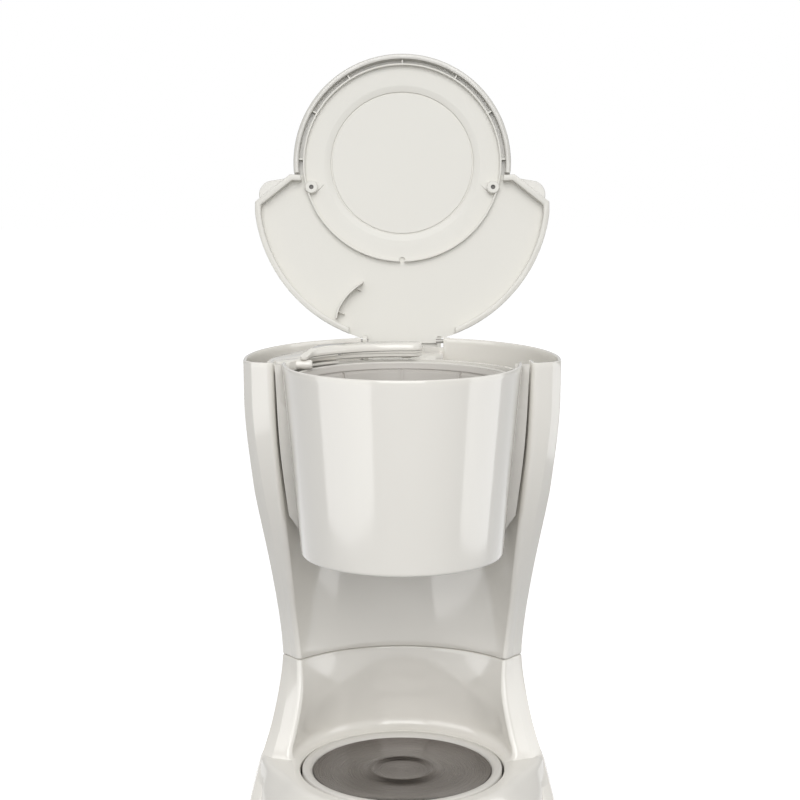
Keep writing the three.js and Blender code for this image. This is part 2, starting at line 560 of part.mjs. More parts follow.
/** A rocker with a hollow face, its top pressed in. */
function switchRocker() {
  const half = [[1.4, 4.2], [-4, 5], [-6.2, 4.6], [-5.2, 0]];
  const side = [...half, ...half.slice(0, -1).reverse().map(([y, z]) => [y, -z])];
  return prism(side, -14, 14).rotate([90, 0, 90]).rotate([-SWITCH_TILT, 0, 0])
    .translate([0, ...SWITCH_AXIS]);
}

const rubberFoot = (x, y) => disc(7, 0, 3.2, x, y, 24).add(disc(4, 3, 7, x, y, 16));
const baseScrew = (x, y) => disc(3.6, 1.2, 3.2, x, y, 16).add(disc(1.6, 3, 10, x, y, 10));
const cableInlet = () => pinY(5, 112, 127.5, ...INLET, 20).add(pinY(8, 126.6, 128.6, ...INLET, 24))
  .subtract(pinY(3.4, 100, 140, ...INLET, 16));
const WINDOW = { y: [60, 69], z: [150, 284] };
const windowSlot = by => block(70, 112, WINDOW.y[0] + by, WINDOW.y[1] - by,
  WINDOW.z[0] + by, WINDOW.z[1] - by);
const levelWindow = () => {
  const zs = levels(WINDOW.z[0] - 6, WINDOW.z[1] + 6, 6);
  return loft(zs.map(z => ({ z, points: horseshoe(z) })))
    .subtract(loft([zs[0] - 1, ...zs, zs[6] + 1].map(z => ({ z, points: inset(horseshoe(z), WALL) }))))
    .intersect(windowSlot(GAP));
};

// ---- assembly ---------------------------------------------------------------------------
const machine = new THREE.Group();
machine.position.set(0, FILTER_AXIS_Y, 0);

function piece(name, manifold, material, parent = machine) {
  const mesh = new THREE.Mesh(toGeometry(manifold), material);
  mesh.name = name;
  parent.add(mesh);
  return mesh;
}

piece('upper_housing', upperHousing(), WHITE);
piece('base_housing', baseHousing(), WHITE);
piece('bottom_cover', bottomCover(), GREY);
piece('front_shell', frontShell(), WHITE);
piece('filter_housing', filterHousing(), SATIN);
piece('riser_cap', riserCap(), WHITE);
piece('riser_tube', riserTube(), SATIN);
piece('level_window', levelWindow(), CLEAR);
piece('hot_plate', hotPlate(), STEEL);
piece('plate_ring', plateRing(), SATIN);
piece('heater_element', heaterElement(), ALUMINIUM);
piece('water_pipe', waterPipe(), ALUMINIUM);
piece('inlet_hose', inletHose(), SILICONE);
piece('riser_hose', riserHose(), SILICONE);
piece('outlet_valve', outletValve(), SATIN);
piece('thermostat', thermostat(), CERAMIC);
piece('thermostat_strap', thermostatStrap(), BRIGHT);
[-16, 16].forEach((x, i) => piece(`thermal_fuse_${i + 1}`, thermalFuse(x), BRIGHT));
piece('switch_frame', switchFrame(), GREY);
piece('switch_rocker', switchRocker(), SATIN);
piece('cable_inlet', cableInlet(), GREY);
FEET.forEach(([x, y], i) => piece(`foot_${i + 1}`, rubberFoot(x, y), RUBBER));
SCREWS.forEach(([x, y], i) => piece(`base_screw_${i + 1}`, baseScrew(x, y), BRIGHT));

piece('filter_basket', filterBasket(), SATIN);
piece('drip_guide', dripGuide(), SATIN);
piece('drip_stem', dripStem(), GREY);
piece('drip_seal', dripSeal(), RUBBER);
piece('drip_spring', dripSpring(), BRIGHT);

piece('arm_top', armTop(), WHITE);
piece('arm_bottom', armBottom(), WHITE);

const lidHinge = new THREE.Group();
lidHinge.position.set(0, HINGE_Y, HINGE_Z);
lidHinge.rotation.x = THREE.MathUtils.degToRad(-LID_OPEN);
machine.add(lidHinge);
const lid = new THREE.Group();
lid.position.set(0, -HINGE_Y, -HINGE_Z);
lidHinge.add(lid);
piece('lid_panel', lidPanel(), WHITE, lid);
piece('lid_cover', lidCover(), WHITE, lid);
[-1, 1].forEach((s, i) => piece(`lid_screw_${i + 1}`, lidScrew(s), BRIGHT, lid));
[-1, 1].forEach((s, i) =>
  piece(`hinge_pin_${i + 1}`, pinX(1.6, s > 0 ? 24.5 : -34, s > 0 ? 34 : -24.5, HINGE_Y, HINGE_Z), BRIGHT));

export default machine;
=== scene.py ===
"""A drip coffee maker with its lid open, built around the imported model's frame."""
import math

import bmesh
import bpy
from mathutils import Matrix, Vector


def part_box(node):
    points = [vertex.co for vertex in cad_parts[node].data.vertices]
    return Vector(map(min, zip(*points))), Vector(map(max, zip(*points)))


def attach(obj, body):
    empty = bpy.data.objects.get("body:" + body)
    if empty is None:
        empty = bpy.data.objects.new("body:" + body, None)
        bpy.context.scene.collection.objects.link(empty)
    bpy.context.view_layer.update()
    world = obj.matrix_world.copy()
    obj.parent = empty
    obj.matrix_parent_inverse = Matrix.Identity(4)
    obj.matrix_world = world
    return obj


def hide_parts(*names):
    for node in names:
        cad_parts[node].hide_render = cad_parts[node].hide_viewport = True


bl_info = {
    "name": "Drip coffee maker",
    "version": (1, 0, 0),
    "blender": (4, 5, 0),
    "location": "3D View > Sidebar > Coffee maker",
    "description": "Models a drip coffee maker piece by piece around its working frame",
    "category": "Object",
}

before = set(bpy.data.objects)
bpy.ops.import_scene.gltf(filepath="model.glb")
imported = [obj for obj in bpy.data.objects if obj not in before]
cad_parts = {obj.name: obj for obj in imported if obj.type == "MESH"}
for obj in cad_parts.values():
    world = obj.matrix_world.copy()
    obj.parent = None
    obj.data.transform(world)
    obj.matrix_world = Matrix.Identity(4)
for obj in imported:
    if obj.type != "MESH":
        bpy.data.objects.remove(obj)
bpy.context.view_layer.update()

MM = 0.001
PLATE_LOW, PLATE_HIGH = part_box("hot_plate")
FILTER_Y = (PLATE_LOW.y + PLATE_HIGH.y) / 2      # the filter's axis, which every piece is drawn about

# Sizes in millimetres about the filter's axis, z = 0 under the feet.
WALL = 2.4
RIM_Z = 315
SEAM_Z = 100
DECK_Z = 38
TANK_FLOOR = 103
HOLDER_TOP = 305
BACK_CENTRE_Y = 24
HINGE_Y, HINGE_Z, LID_OPEN = 131, 311.8, 99.75
LID_R, LID_WING_R, LID_UNDER = 79.5, 108.2, 323
TAB_BACK = HINGE_Y + 4.2
CAP_LOW, CAP_BED, CAP_TOP = 305.35, 306.8, 311.7
ARM_PIVOT = (-73.5, 54)
ARM_INNER, ARM_OUTER, ARM_TIP = 77.6, 94.4, 86
SHELL_Z, SHELL_R = (188, 315), (67.2, 78.8)
PLATE_R = 60.6
WINDOW_Y, WINDOW_Z = (60, 69), (150, 284)

# The body's outline changes with height: (z, value), read on a smooth curve.
HALF_WIDTH = ((3, 106.5), (20, 102.6), (56, 91.4), (85, 86), (105, 85), (160, 90.4),
              (225, 100), (275, 105.3), (315, 105.8))
INNER_EDGE = ((38, 78), (52, 74), (80, 70.2), (118, 73.6), (200, 79), (260, 83.2), (315, 84.4))
FRONT_EDGE = ((4, -34), (20, -14), (38, 9), (66, 24), (105, 40), (170, 26), (250, 6), (315, -4))
BACK_EDGE = ((3, 126), (105, 121), (220, 128), (315, 130.4))
BAY_DEPTH = ((38, 77), (105, 73.4), (190, 80), (315, 84.4))
BASE_FRONT = ((3, -92), (20, -88), (38, -79))
BASE_SIDE = ((3, 101), (20, 93), (38, 79))


# ---- settings a user would change ------------------------------------------
class CoffeeMakerSizes(bpy.types.PropertyGroup):
    rim_round: bpy.props.FloatProperty(
        name="Rim rounding", description="Rounding of the body's top edge", default=0.0008,
        min=0.0002, max=0.0011, unit='LENGTH', subtype='DISTANCE')
    bay_fillet: bpy.props.FloatProperty(
        name="Bay fillet", description="Radius where the jug bay's wall meets the deck",
        default=0.008, min=0.002, max=0.012, unit='LENGTH', subtype='DISTANCE')
    edge_round: bpy.props.FloatProperty(
        name="Edge rounding", description="Rounding of small moulded edges", default=0.0005,
        min=0.0001, max=0.001, unit='LENGTH', subtype='DISTANCE')
    grain: bpy.props.FloatProperty(
        name="Mould grain", description="Size of the moulded plastic's surface ripple",
        default=0.0009, min=0.0002, max=0.004, unit='LENGTH', subtype='DISTANCE')


def colour_setting(name, description, value):
    return bpy.props.StringProperty(name=name, description=description, default=value)


class CoffeeMakerColours(bpy.types.PropertyGroup):
    body: colour_setting("Body", "sRGB hex of the glossy warm white body", "E7E4DD")
    lid: colour_setting("Lid panel", "sRGB hex of the lid's inner panel", "D9D7D0")
    # The lid cover's greyer colour is painted shade for the shadowed ring of the cover round the lid panel.
    cover: colour_setting("Lid cover", "sRGB hex of the lid's outer cover", "CFCDC7")
    satin: colour_setting("Filter parts", "sRGB hex of the satin filter parts", "D6D3CD")
    # The basket's deeper grey is painted shade: it darkens the shaded inside of the basket.
    basket: colour_setting("Basket", "sRGB hex of the lift-out basket", "BEBAB4")
    grey: colour_setting("Grey parts", "sRGB hex of the pale grey parts", "B9B7B2")
    plate: colour_setting("Hot plate", "sRGB hex of the hot plate's steel", "85807D")
    rubber: colour_setting("Rubber", "sRGB hex of the feet and seal", "3A3A3A")
    floor: colour_setting("Floor", "sRGB hex of the studio floor", "FFFFFF")


# ---- outlines ------------------------------------------------------------------
def along(pairs, z):
    """Reads (z, value) pairs on a smooth curve."""
    if z <= pairs[0][0]:
        return pairs[0][1]
    if z >= pairs[-1][0]:
        return pairs[-1][1]
    i = 0
    while z > pairs[i + 1][0]:
        i += 1

    def slope(k):
        low, high = pairs[max(k - 1, 0)], pairs[min(k + 1, len(pairs) - 1)]
        return (high[1] - low[1]) / (high[0] - low[0])

    (z0, v0), (z1, v1) = pairs[i], pairs[i + 1]
    h = z1 - z0
    t = (z - z0) / h
    return ((2 * t ** 3 - 3 * t ** 2 + 1) * v0 + (t ** 3 - 2 * t ** 2 + t) * slope(i) * h
            + (3 * t ** 2 - 2 * t ** 3) * v1 + (t ** 3 - t ** 2) * slope(i + 1) * h)


def levels(low, high, count):
    return [low + (high - low) * i / count for i in range(count + 1)]


def arc(cx, cy, rx, ry, start, end, count):
    """Points on an arc, in degrees, both ends included."""
    angles = [math.radians(a) for a in levels(start, end, count)]
    return [(cx + rx * math.cos(a), cy + ry * math.sin(a)) for a in angles]


def mirrored(right, back=None):
    """Closes a right half with its mirror image."""
    middle = [back] if back else []
    return right + middle + [(-x, y) for x, y in reversed(right)]


def inset(points, by):
    """Moves each side of an anticlockwise outline inwards by the same distance."""
    out = []
    for i, (x, y) in enumerate(points):
        before = Vector((x, y)) - Vector(points[i - 1])
        after = Vector(points[(i + 1) % len(points)]) - Vector((x, y))
        a, b = before.normalized(), after.normalized()
        middle = Vector((-a.y - b.y, a.x + b.x)).normalized()
        spread = max(0.45, middle.dot(Vector((-b.y, b.x))))
        out.append((x + middle.x * by / spread, y + middle.y * by / spread))
    return out


def round_corner(before, corner, after, radius, count=5):
    """An arc of the given radius in place of a corner."""
    corner = Vector(corner)
    a = (Vector(before) - corner).normalized()
    b = (Vector(after) - corner).normalized()
    half = a.angle(b) / 2
    reach = radius / math.tan(half)
    centre = corner + (a + b).normalized() * radius / math.sin(half)
    start, end = corner + a * reach - centre, corner + b * reach - centre
    turn = start.angle_signed(end)
    out = []
    for i in range(count + 1):
        t = -turn * i / count
        x = start.x * math.cos(t) - start.y * math.sin(t)
        y = start.x * math.sin(t) + start.y * math.cos(t)
        out.append((centre.x + x, centre.y + y))
    return out


BACK_STEPS = 44
BAY_STEPS = 56
SIDE_BOW = 1.6


def back_half(z, start):
    """A column's outer side and the round back, from the front corner to the middle."""
    w, depth = along(HALF_WIDTH, z), along(BACK_EDGE, z) - BACK_CENTRE_Y
    straight = max(0, BACK_CENTRE_Y - start)
    a0 = math.asin(max(0, start - BACK_CENTRE_Y) / depth)
    curved = (math.pi / 2 - a0) * (w + depth) / 2
    out = []
    for i in range(BACK_STEPS):
        s = (straight + curved) * i / BACK_STEPS
        if s < straight:
            out.append((w - SIDE_BOW * (1 - s / straight) ** 2, start + s))
        else:
            a = a0 + (math.pi / 2 - a0) * (s - straight) / curved
            out.append((w * math.cos(a) / math.cos(a0), BACK_CENTRE_Y + depth * math.sin(a)))
    return out


def horseshoe(z, by=0, fillet=0):
    """Two columns, the round back and the jug bay's hollow wall, moved in by a distance."""
    w, a, front = along(HALF_WIDTH, z), along(INNER_EDGE, z), along(FRONT_EDGE, z)
    rise = z - DECK_Z
    if fillet and rise < fillet:
        foot = fillet - math.sqrt(fillet ** 2 - (fillet - max(rise, 0)) ** 2)
    else:
        foot = 0
    depth = along(BAY_DEPTH, z) - foot
    a -= foot * 0.6
    lean = 8 + 6 * max(0, 1 - abs(z - 105) / 120)
    side = back_half(z, front + lean)
    half = depth - front
    r = (a * a + half * half) / (2 * half)
    opening = math.degrees(math.asin(min(1, a / r)))
    spread = 180 - opening if half > r else opening
    bay = arc(0, depth - r, r, r, 90 + spread, 90 - spread, BAY_STEPS)[1:-1]
    right = [(a, front), (w - 7, front + lean * 0.62)] + side
    plan = inset(mirrored(right, (0, along(BACK_EDGE, z))) + bay, by)
    last = 2 * (BACK_STEPS + 2)
    inner, outer = max(3.4 - by, 0.4), max(3 - by, 0.5)
    right_inner = round_corner(plan[-1], plan[0], plan[1], inner)
    right_outer = round_corner(plan[0], plan[1], plan[2], outer)
    left_outer = round_corner(plan[last - 2], plan[last - 1], plan[last], outer)
    left_inner = round_corner(plan[last - 1], plan[last], plan[last + 1], inner)
    return right_inner + right_outer + plan[3:last - 2] + left_outer + left_inner + plan[last + 1:]


def bay_half_width(z, y):
    """Half the jug bay's width at a height and a depth."""
    a, depth = along(INNER_EDGE, z), along(BAY_DEPTH, z)
    half = depth - along(FRONT_EDGE, z)
    r = (a * a + half * half) / (2 * half)
    return math.sqrt(r * r - (y - depth + r) ** 2)


def reach(a, cy, rx, ry):
    """Distance from the filter's axis to an ellipse about (0, cy), looking along an angle."""
    c, s, k = math.cos(a) / rx, math.sin(a) / ry, cy / ry
    qa, qb, qc = c * c + s * s, -2 * s * k, k * k - 1
    return (-qb + math.sqrt(qb * qb - 4 * qa * qc)) / (2 * qa)


FOOT_STEPS = 72


def foot_plan(z, by=0):
    """The foot's outline: round in front of the plate, swelling into the round back."""
    w, side, nose = along(HALF_WIDTH, z), along(BASE_SIDE, z), -along(BASE_FRONT, z)
    right = []
    for a in levels(-90, 90, FOOT_STEPS)[1:-1]:
        t = min(max((a + 22) / 36, 0), 1)
        t = t * t * (3 - 2 * t)
        a = math.radians(a)
        depth = along(BACK_EDGE, z) - BACK_CENTRE_Y if a > 0 else nose + BACK_CENTRE_Y
        r = (1 - t) * reach(a, 0, side, nose) + t * reach(a, BACK_CENTRE_Y, w, depth)
        right.append((r * math.cos(a), r * math.sin(a)))
    return inset([(0, -nose)] + mirrored(right, (0, along(BACK_EDGE, z))), by)


def shell_radius(z):
    return SHELL_R[0] + (SHELL_R[1] - SHELL_R[0]) * (z - SHELL_Z[0]) / (SHELL_Z[1] - SHELL_Z[0])


def sickle(by=0, shift=(0, 0), count=36):
    """The spout in plan, round at both ends, leaving its circle to reach the pivot."""
    inner, outer = ARM_INNER + by, ARM_OUTER - by
    mid, half = (inner + outer) / 2, (outer - inner) / 2
    root_angle = math.degrees(math.atan2(ARM_PIVOT[1], ARM_PIVOT[0]))
    drift = math.hypot(*ARM_PIVOT) - (ARM_INNER + ARM_OUTER) / 2

    def place(radius, a):
        t = (a - ARM_TIP) / (root_angle - ARM_TIP)
        r = radius + drift * t * t
        return r * math.cos(math.radians(a)), r * math.sin(math.radians(a))

    sweep = levels(ARM_TIP, root_angle, count)
    tip = arc(*place(mid, ARM_TIP), half, half, ARM_TIP - 180, ARM_TIP, 14)
    root = arc(*place(mid, root_angle), half, half, root_angle, root_angle + 180, 14)
    outline = (tip[:-1] + [place(outer, a) for a in sweep] + root[1:-1]
               + [place(inner, a) for a in reversed(sweep)][:-1])
    return [(x + shift[0], y + shift[1]) for x, y in outline]


def spline(points, count):
    """A smooth line through points, count steps to each stretch."""
    out = []
    for i in range(len(points) - 1):
        p0, p1 = points[max(i - 1, 0)], points[i]
        p2, p3 = points[i + 1], points[min(i + 2, len(points) - 1)]
        for t in levels(0, 1, count)[:-1]:
            out.append(tuple(0.5 * (2 * b + (c - a) * t + (2 * a - 5 * b + 4 * c - d) * t * t
                                    + (3 * b - a - 3 * c + d) * t ** 3)
                             for a, b, c, d in zip(p0, p1, p2, p3)))
    return out + [tuple(points[-1])]


def spout_plan(by=0):
    """The spout's top: a round tip and a tapered root that ends beside the cap's nose."""
    mid, half = (ARM_INNER + ARM_OUTER) / 2, (ARM_OUTER - ARM_INNER) / 2
    q = math.radians(ARM_TIP)
    tip = arc(mid * math.cos(q), mid * math.sin(q), half, half, ARM_TIP - 180, ARM_TIP, 18)
    outer = arc(0, 0, ARM_OUTER, ARM_OUTER, ARM_TIP, 126.5, 22)[1:]
    corner = round_corner(outer[-1], (-60, 73), (-64.5, 54), 2.6, 5)
    root = spline([corner[-1], (-64.6, 54), (-68.6, 38)], 6)[1:] + arc(-66, 35.4, 2.7, 3.4, 165, 345, 10)
    inner = spline([root[-1], (-61.8, 43), (-60.3, 48.8)], 4)[1:]
    inner += arc(0, 0, ARM_INNER, ARM_INNER, 138, ARM_TIP, 26)[:-1]
    outer += corner
    return inset(tip + outer + root + inner, by)


def crescent_edge(by=0):
    """The lid's wings and round back as an open line, right end first."""
    r = LID_WING_R - by
    right = [(74.5 - by * 0.2, 9.5 + by), (82 - by * 0.35, 9 + by * 1.05)]
    corner = (LID_WING_R - 0.8 - by, 29 + by * 0.55)
    sweep = arc(0, BACK_CENTRE_Y + 0.2, r, r, 2.7 + by * 0.28, 90, 40)
    bend = round_corner(right[-1], corner, sweep[2], 1.6, 4)
    right = right + bend + sweep[2:-1]
    return mirrored(right, sweep[-1])


# ---- modelling helpers ------------------------------------------------------------
def at(x, y, z):
    """A point given in millimetres about the filter's axis, in the frame's metres."""
    return Vector((x * MM, FILTER_Y + y * MM, z * MM))


def pick(*pieces):
    """Leaves only these pieces selected, the first one active."""
    if bpy.context.object and bpy.context.object.mode != 'OBJECT':
        bpy.ops.object.mode_set(mode='OBJECT')
    bpy.ops.object.select_all(action='DESELECT')
    for piece in pieces:
        piece.select_set(True)
    if pieces:
        bpy.context.view_layer.objects.active = pieces[0]


def new_loop(name, count):
    """Starts a piece as one closed loop of edges, left in edit mode."""
    pick()
    bpy.ops.mesh.primitive_circle_add(vertices=count, radius=0.01)
    piece = bpy.context.object
    piece.name = name
    bpy.ops.object.mode_set(mode='EDIT')
    return piece


def tidy_faces():
    """Merges doubles, drops loose edges and turns every face outwards."""
    bpy.ops.mesh.select_all(action='SELECT')
    bpy.ops.mesh.remove_doubles(threshold=1e-6)
    bpy.ops.mesh.delete_loose(use_verts=True, use_edges=True, use_faces=False)
    bpy.ops.mesh.select_all(action='SELECT')
    bpy.ops.mesh.normals_make_consistent(inside=False)
    bpy.ops.object.mode_set(mode='OBJECT')


def raise_rings(name, rings):
    """Extrudes an outline through rings of (x, y, z) points and closes both ends."""
    piece = new_loop(name, len(rings[0]))
    mesh = bmesh.from_edit_mesh(piece.data)
    order = mesh.verts.layers.int.new("order")
    level = mesh.verts.layers.int.new("level")
    for v in mesh.verts:
        v[order] = v.index
    for k, ring in enumerate(rings):
        if k:
            bpy.ops.mesh.extrude_region_move()
            mesh = bmesh.from_edit_mesh(piece.data)
            order, level = mesh.verts.layers.int["order"], mesh.verts.layers.int["level"]
        for v in mesh.verts:
            if v.select:
                v.co = at(*ring[v[order]])
                v[level] = k
        bmesh.update_edit_mesh(piece.data)
    bpy.ops.mesh.edge_face_add()
    bpy.ops.mesh.select_all(action='DESELECT')
    mesh = bmesh.from_edit_mesh(piece.data)
    level = mesh.verts.layers.int["level"]
    for v in mesh.verts:
        v.select = v[level] == 0
    mesh.select_flush(True)
    bmesh.update_edit_mesh(piece.data)
    bpy.ops.mesh.edge_face_add()
    mesh = bmesh.from_edit_mesh(piece.data)
    for key in ("order", "level"):
        mesh.verts.layers.int.remove(mesh.verts.layers.int[key])
    tidy_faces()
    return piece


def slab(name, outline, profile):
    """Raises an outline through (z, inset) steps; the outline is a function of its inset."""
    return raise_rings(name, [[(x, y, z) for x, y in outline(by)] for z, by in profile])


def turned(name, profile, steps=144, centre=(0, 0)):
    """Spins a closed (radius, z) profile about an upright axis."""
    piece = new_loop(name, len(profile))
    mesh = bmesh.from_edit_mesh(piece.data)
    mesh.verts.ensure_lookup_table()
    for v, (r, z) in zip(mesh.verts, profile):
        v.co = at(centre[0] + r, centre[1], z)
    bmesh.update_edit_mesh(piece.data)
    bpy.ops.mesh.select_all(action='SELECT')
    bpy.ops.mesh.spin(steps=steps, angle=2 * math.pi, center=at(*centre, 0), axis=(0, 0, 1))
    tidy_faces()
    return piece


def block(name, x, y, z, round_by=0):
    """A squared piece between two corners, its edges bevelled."""
    pick()
    low, high = at(x[0], y[0], z[0]), at(x[1], y[1], z[1])
    bpy.ops.mesh.primitive_cube_add(size=1, location=(low + high) / 2, scale=high - low)
    piece = bpy.context.object
    piece.name = name
    bpy.ops.object.transform_apply(location=True, rotation=True, scale=True)
    if round_by:
        bevel(piece, round_by, 3)
    return piece


def rod_x(name, r, x, y, z, count=40):
    """A round bar lying along X."""
    ring = arc(0, 0, r, r, 0, 360 - 360 / count, count - 1)
    return raise_rings(name, [[(end, y + u, z + v) for u, v in ring] for end in x])


def bevel(piece, width_mm, segments=2, angle=40):
    pick(piece)
    modifier = piece.modifiers.new("Edge", 'BEVEL')
    modifier.width = width_mm * MM
    modifier.segments = segments
    modifier.limit_method = 'ANGLE'
    modifier.angle_limit = math.radians(angle)
    bpy.ops.object.modifier_apply(modifier=modifier.name)


def combine(piece, tool, operation):
    """Applies one piece to another as a boolean and removes the tool."""
    pick(piece)
    modifier = piece.modifiers.new("Shape", 'BOOLEAN')
    modifier.object = tool
    modifier.operation = operation
    modifier.solver = 'EXACT'
    bpy.ops.object.modifier_apply(modifier=modifier.name)
    bpy.data.objects.remove(tool, do_unlink=True)
    return piece


def cut(piece, *tools):
    for tool in tools:
        combine(piece, tool, 'DIFFERENCE')
    return piece


def add_to(piece, *tools):
    for tool in tools:
        combine(piece, tool, 'UNION')
    return piece


def finish_piece(piece, material, body, slot, *nodes, smooth=32):
    """Smooths a piece, gives it its finish and ties it to the frame."""
    pick(piece)
    bpy.ops.object.mode_set(mode='EDIT')
    tidy_faces()
    bpy.ops.object.shade_smooth_by_angle(angle=math.radians(smooth))
    piece.data.materials.clear()
    piece.data.materials.append(material)
    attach(piece, body)
    if nodes:
        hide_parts(*nodes)
    return piece


def open_lid(piece):
    """Turns a lid piece, drawn closed, back about the hinge to its open rest."""
    pick(piece)
    bpy.ops.object.mode_set(mode='EDIT')
    bpy.ops.mesh.select_all(action='SELECT')
    bpy.ops.transform.rotate(value=math.radians(LID_OPEN), orient_axis='X', orient_type='GLOBAL',
                             center_override=at(0, HINGE_Y, HINGE_Z))
    bpy.ops.object.mode_set(mode='OBJECT')
    return piece


# ---- finishes -----------------------------------------------------------------------
def linear(colour):
    """An sRGB hex value as linear RGBA."""
    channels = [int(colour[i:i + 2], 16) / 255 for i in (0, 2, 4)]
    return [c / 12.92 if c <= 0.04045 else ((c + 0.055) / 1.055) ** 2.4 for c in channels] + [1]


def add_node(tree, kind, inputs=None, **settings):
    """Adds one node; an input is a value or another node's output."""
    node = tree.nodes.new(kind)
    for name, value in settings.items():
        setattr(node, name, value)
    for name, value in (inputs or {}).items():
        if isinstance(value, bpy.types.NodeSocket):
            tree.links.new(value, node.inputs[name])
        else:
            node.inputs[name].default_value = value
    return node


def per_mm(size):
    """The texture scale, on coordinates in metres, that makes a feature this many mm wide."""
    return 1 / (size * MM)


def new_material(name):
    material = bpy.data.materials.new(name)
    material.use_nodes = True
    material.node_tree.nodes.clear()
    return material, material.node_tree


def moulded(name, colour, roughness, grain, depth, coat=0.0, ior=1.5, tint=0.97, **extra):
    """A moulded material: fine surface ripple, slight tone and gloss variation."""
    material, tree = new_material(name)
    place = add_node(tree, 'ShaderNodeTexCoord').outputs['Object']
    ripple = add_node(tree, 'ShaderNodeTexNoise', {
        'Vector': place, 'Scale': per_mm(grain), 'Detail': 3.0, 'Roughness': 0.55})
    cloud = add_node(tree, 'ShaderNodeTexNoise', {
        'Vector': place, 'Scale': per_mm(70), 'Detail': 2.0, 'Roughness': 0.5})
    base = linear(colour)
    shade = [c * tint for c in base[:3]] + [1]
    tone = add_node(tree, 'ShaderNodeMix', {
        'Factor': cloud.outputs['Fac'], 6: base, 7: shade}, data_type='RGBA')
    gloss = add_node(tree, 'ShaderNodeMapRange', {
        'Value': ripple.outputs['Fac'], 'To Min': roughness * 0.9, 'To Max': roughness * 1.12})
    bump = add_node(tree, 'ShaderNodeBump', {
        'Height': ripple.outputs['Fac'], 'Strength': 0.35, 'Distance': depth * MM})
    inputs = {'Base Color': tone.outputs[2], 'Roughness': gloss.outputs['Result'],
              'Normal': bump.outputs['Normal'], 'IOR': ior, 'Coat Weight': coat,
              'Coat Roughness': 0.08}
    inputs.update(extra)
    shader = add_node(tree, 'ShaderNodeBsdfPrincipled', inputs)
    add_node(tree, 'ShaderNodeOutputMaterial', {'Surface': shader.outputs['BSDF']})
    return material


def turned_steel(name, colour, roughness, groove, depth, anisotropy):
    """Spun sheet steel: fine rings about the filter's axis, which draw the light into wedges."""
    material, tree = new_material(name)
    place = add_node(tree, 'ShaderNodeTexCoord').outputs['Object']
    centred = add_node(tree, 'ShaderNodeMapping', {
        'Vector': place, 'Location': (0, -FILTER_Y, 0), 'Scale': (1, 1, 0)})
    radius = add_node(tree, 'ShaderNodeVectorMath', {0: centred.outputs['Vector']}, operation='LENGTH')
    rings = add_node(tree, 'ShaderNodeTexNoise', {
        'W': radius.outputs['Value'], 'Scale': per_mm(groove), 'Detail': 3.0,
        'Roughness': 0.6}, noise_dimensions='1D')
    stain = add_node(tree, 'ShaderNodeTexNoise', {
        'Vector': place, 'Scale': per_mm(18), 'Detail': 4.0, 'Roughness': 0.6})
    base = linear(colour)
    dark = [c * 0.86 for c in base[:3]] + [1]
    tone = add_node(tree, 'ShaderNodeMix', {
        'Factor': stain.outputs['Fac'], 6: base, 7: dark}, data_type='RGBA')
    gloss = add_node(tree, 'ShaderNodeMapRange', {
        'Value': rings.outputs['Fac'], 'To Min': roughness * 0.8, 'To Max': roughness * 1.2})
    bump = add_node(tree, 'ShaderNodeBump', {
        'Height': rings.outputs['Fac'], 'Strength': 0.4, 'Distance': depth * MM})
    tangent = add_node(tree, 'ShaderNodeTangent', direction_type='RADIAL', axis='Z')
    shader = add_node(tree, 'ShaderNodeBsdfPrincipled', {
        'Base Color': tone.outputs[2], 'Metallic': 1.0, 'Roughness': gloss.outputs['Result'],
        'Anisotropic': anisotropy, 'Normal': bump.outputs['Normal'],
        'Tangent': tangent.outputs['Tangent']})
    add_node(tree, 'ShaderNodeOutputMaterial', {'Surface': shader.outputs['BSDF']})
    return material


def metal(name, colour, roughness, grain):
    """A drawn or rolled metal with a fine dull grain."""
    material, tree = new_material(name)
    place = add_node(tree, 'ShaderNodeTexCoord').outputs['Object']
    stretched = add_node(tree, 'ShaderNodeMapping', {'Vector': place, 'Scale': (1, 1, 0.2)})
    scratch = add_node(tree, 'ShaderNodeTexNoise', {
        'Vector': stretched.outputs['Vector'], 'Scale': per_mm(grain), 'Detail': 4.0})
    gloss = add_node(tree, 'ShaderNodeMapRange', {
        'Value': scratch.outputs['Fac'], 'To Min': roughness * 0.8, 'To Max': roughness * 1.3})
    bump = add_node(tree, 'ShaderNodeBump', {
        'Height': scratch.outputs['Fac'], 'Strength': 0.25, 'Distance': 0.02 * MM})
    shader = add_node(tree, 'ShaderNodeBsdfPrincipled', {
        'Base Color': linear(colour), 'Metallic': 1.0, 'Roughness': gloss.outputs['Result'],
        'Normal': bump.outputs['Normal']})
    add_node(tree, 'ShaderNodeOutputMaterial', {'Surface': shader.outputs['BSDF']})
    return material


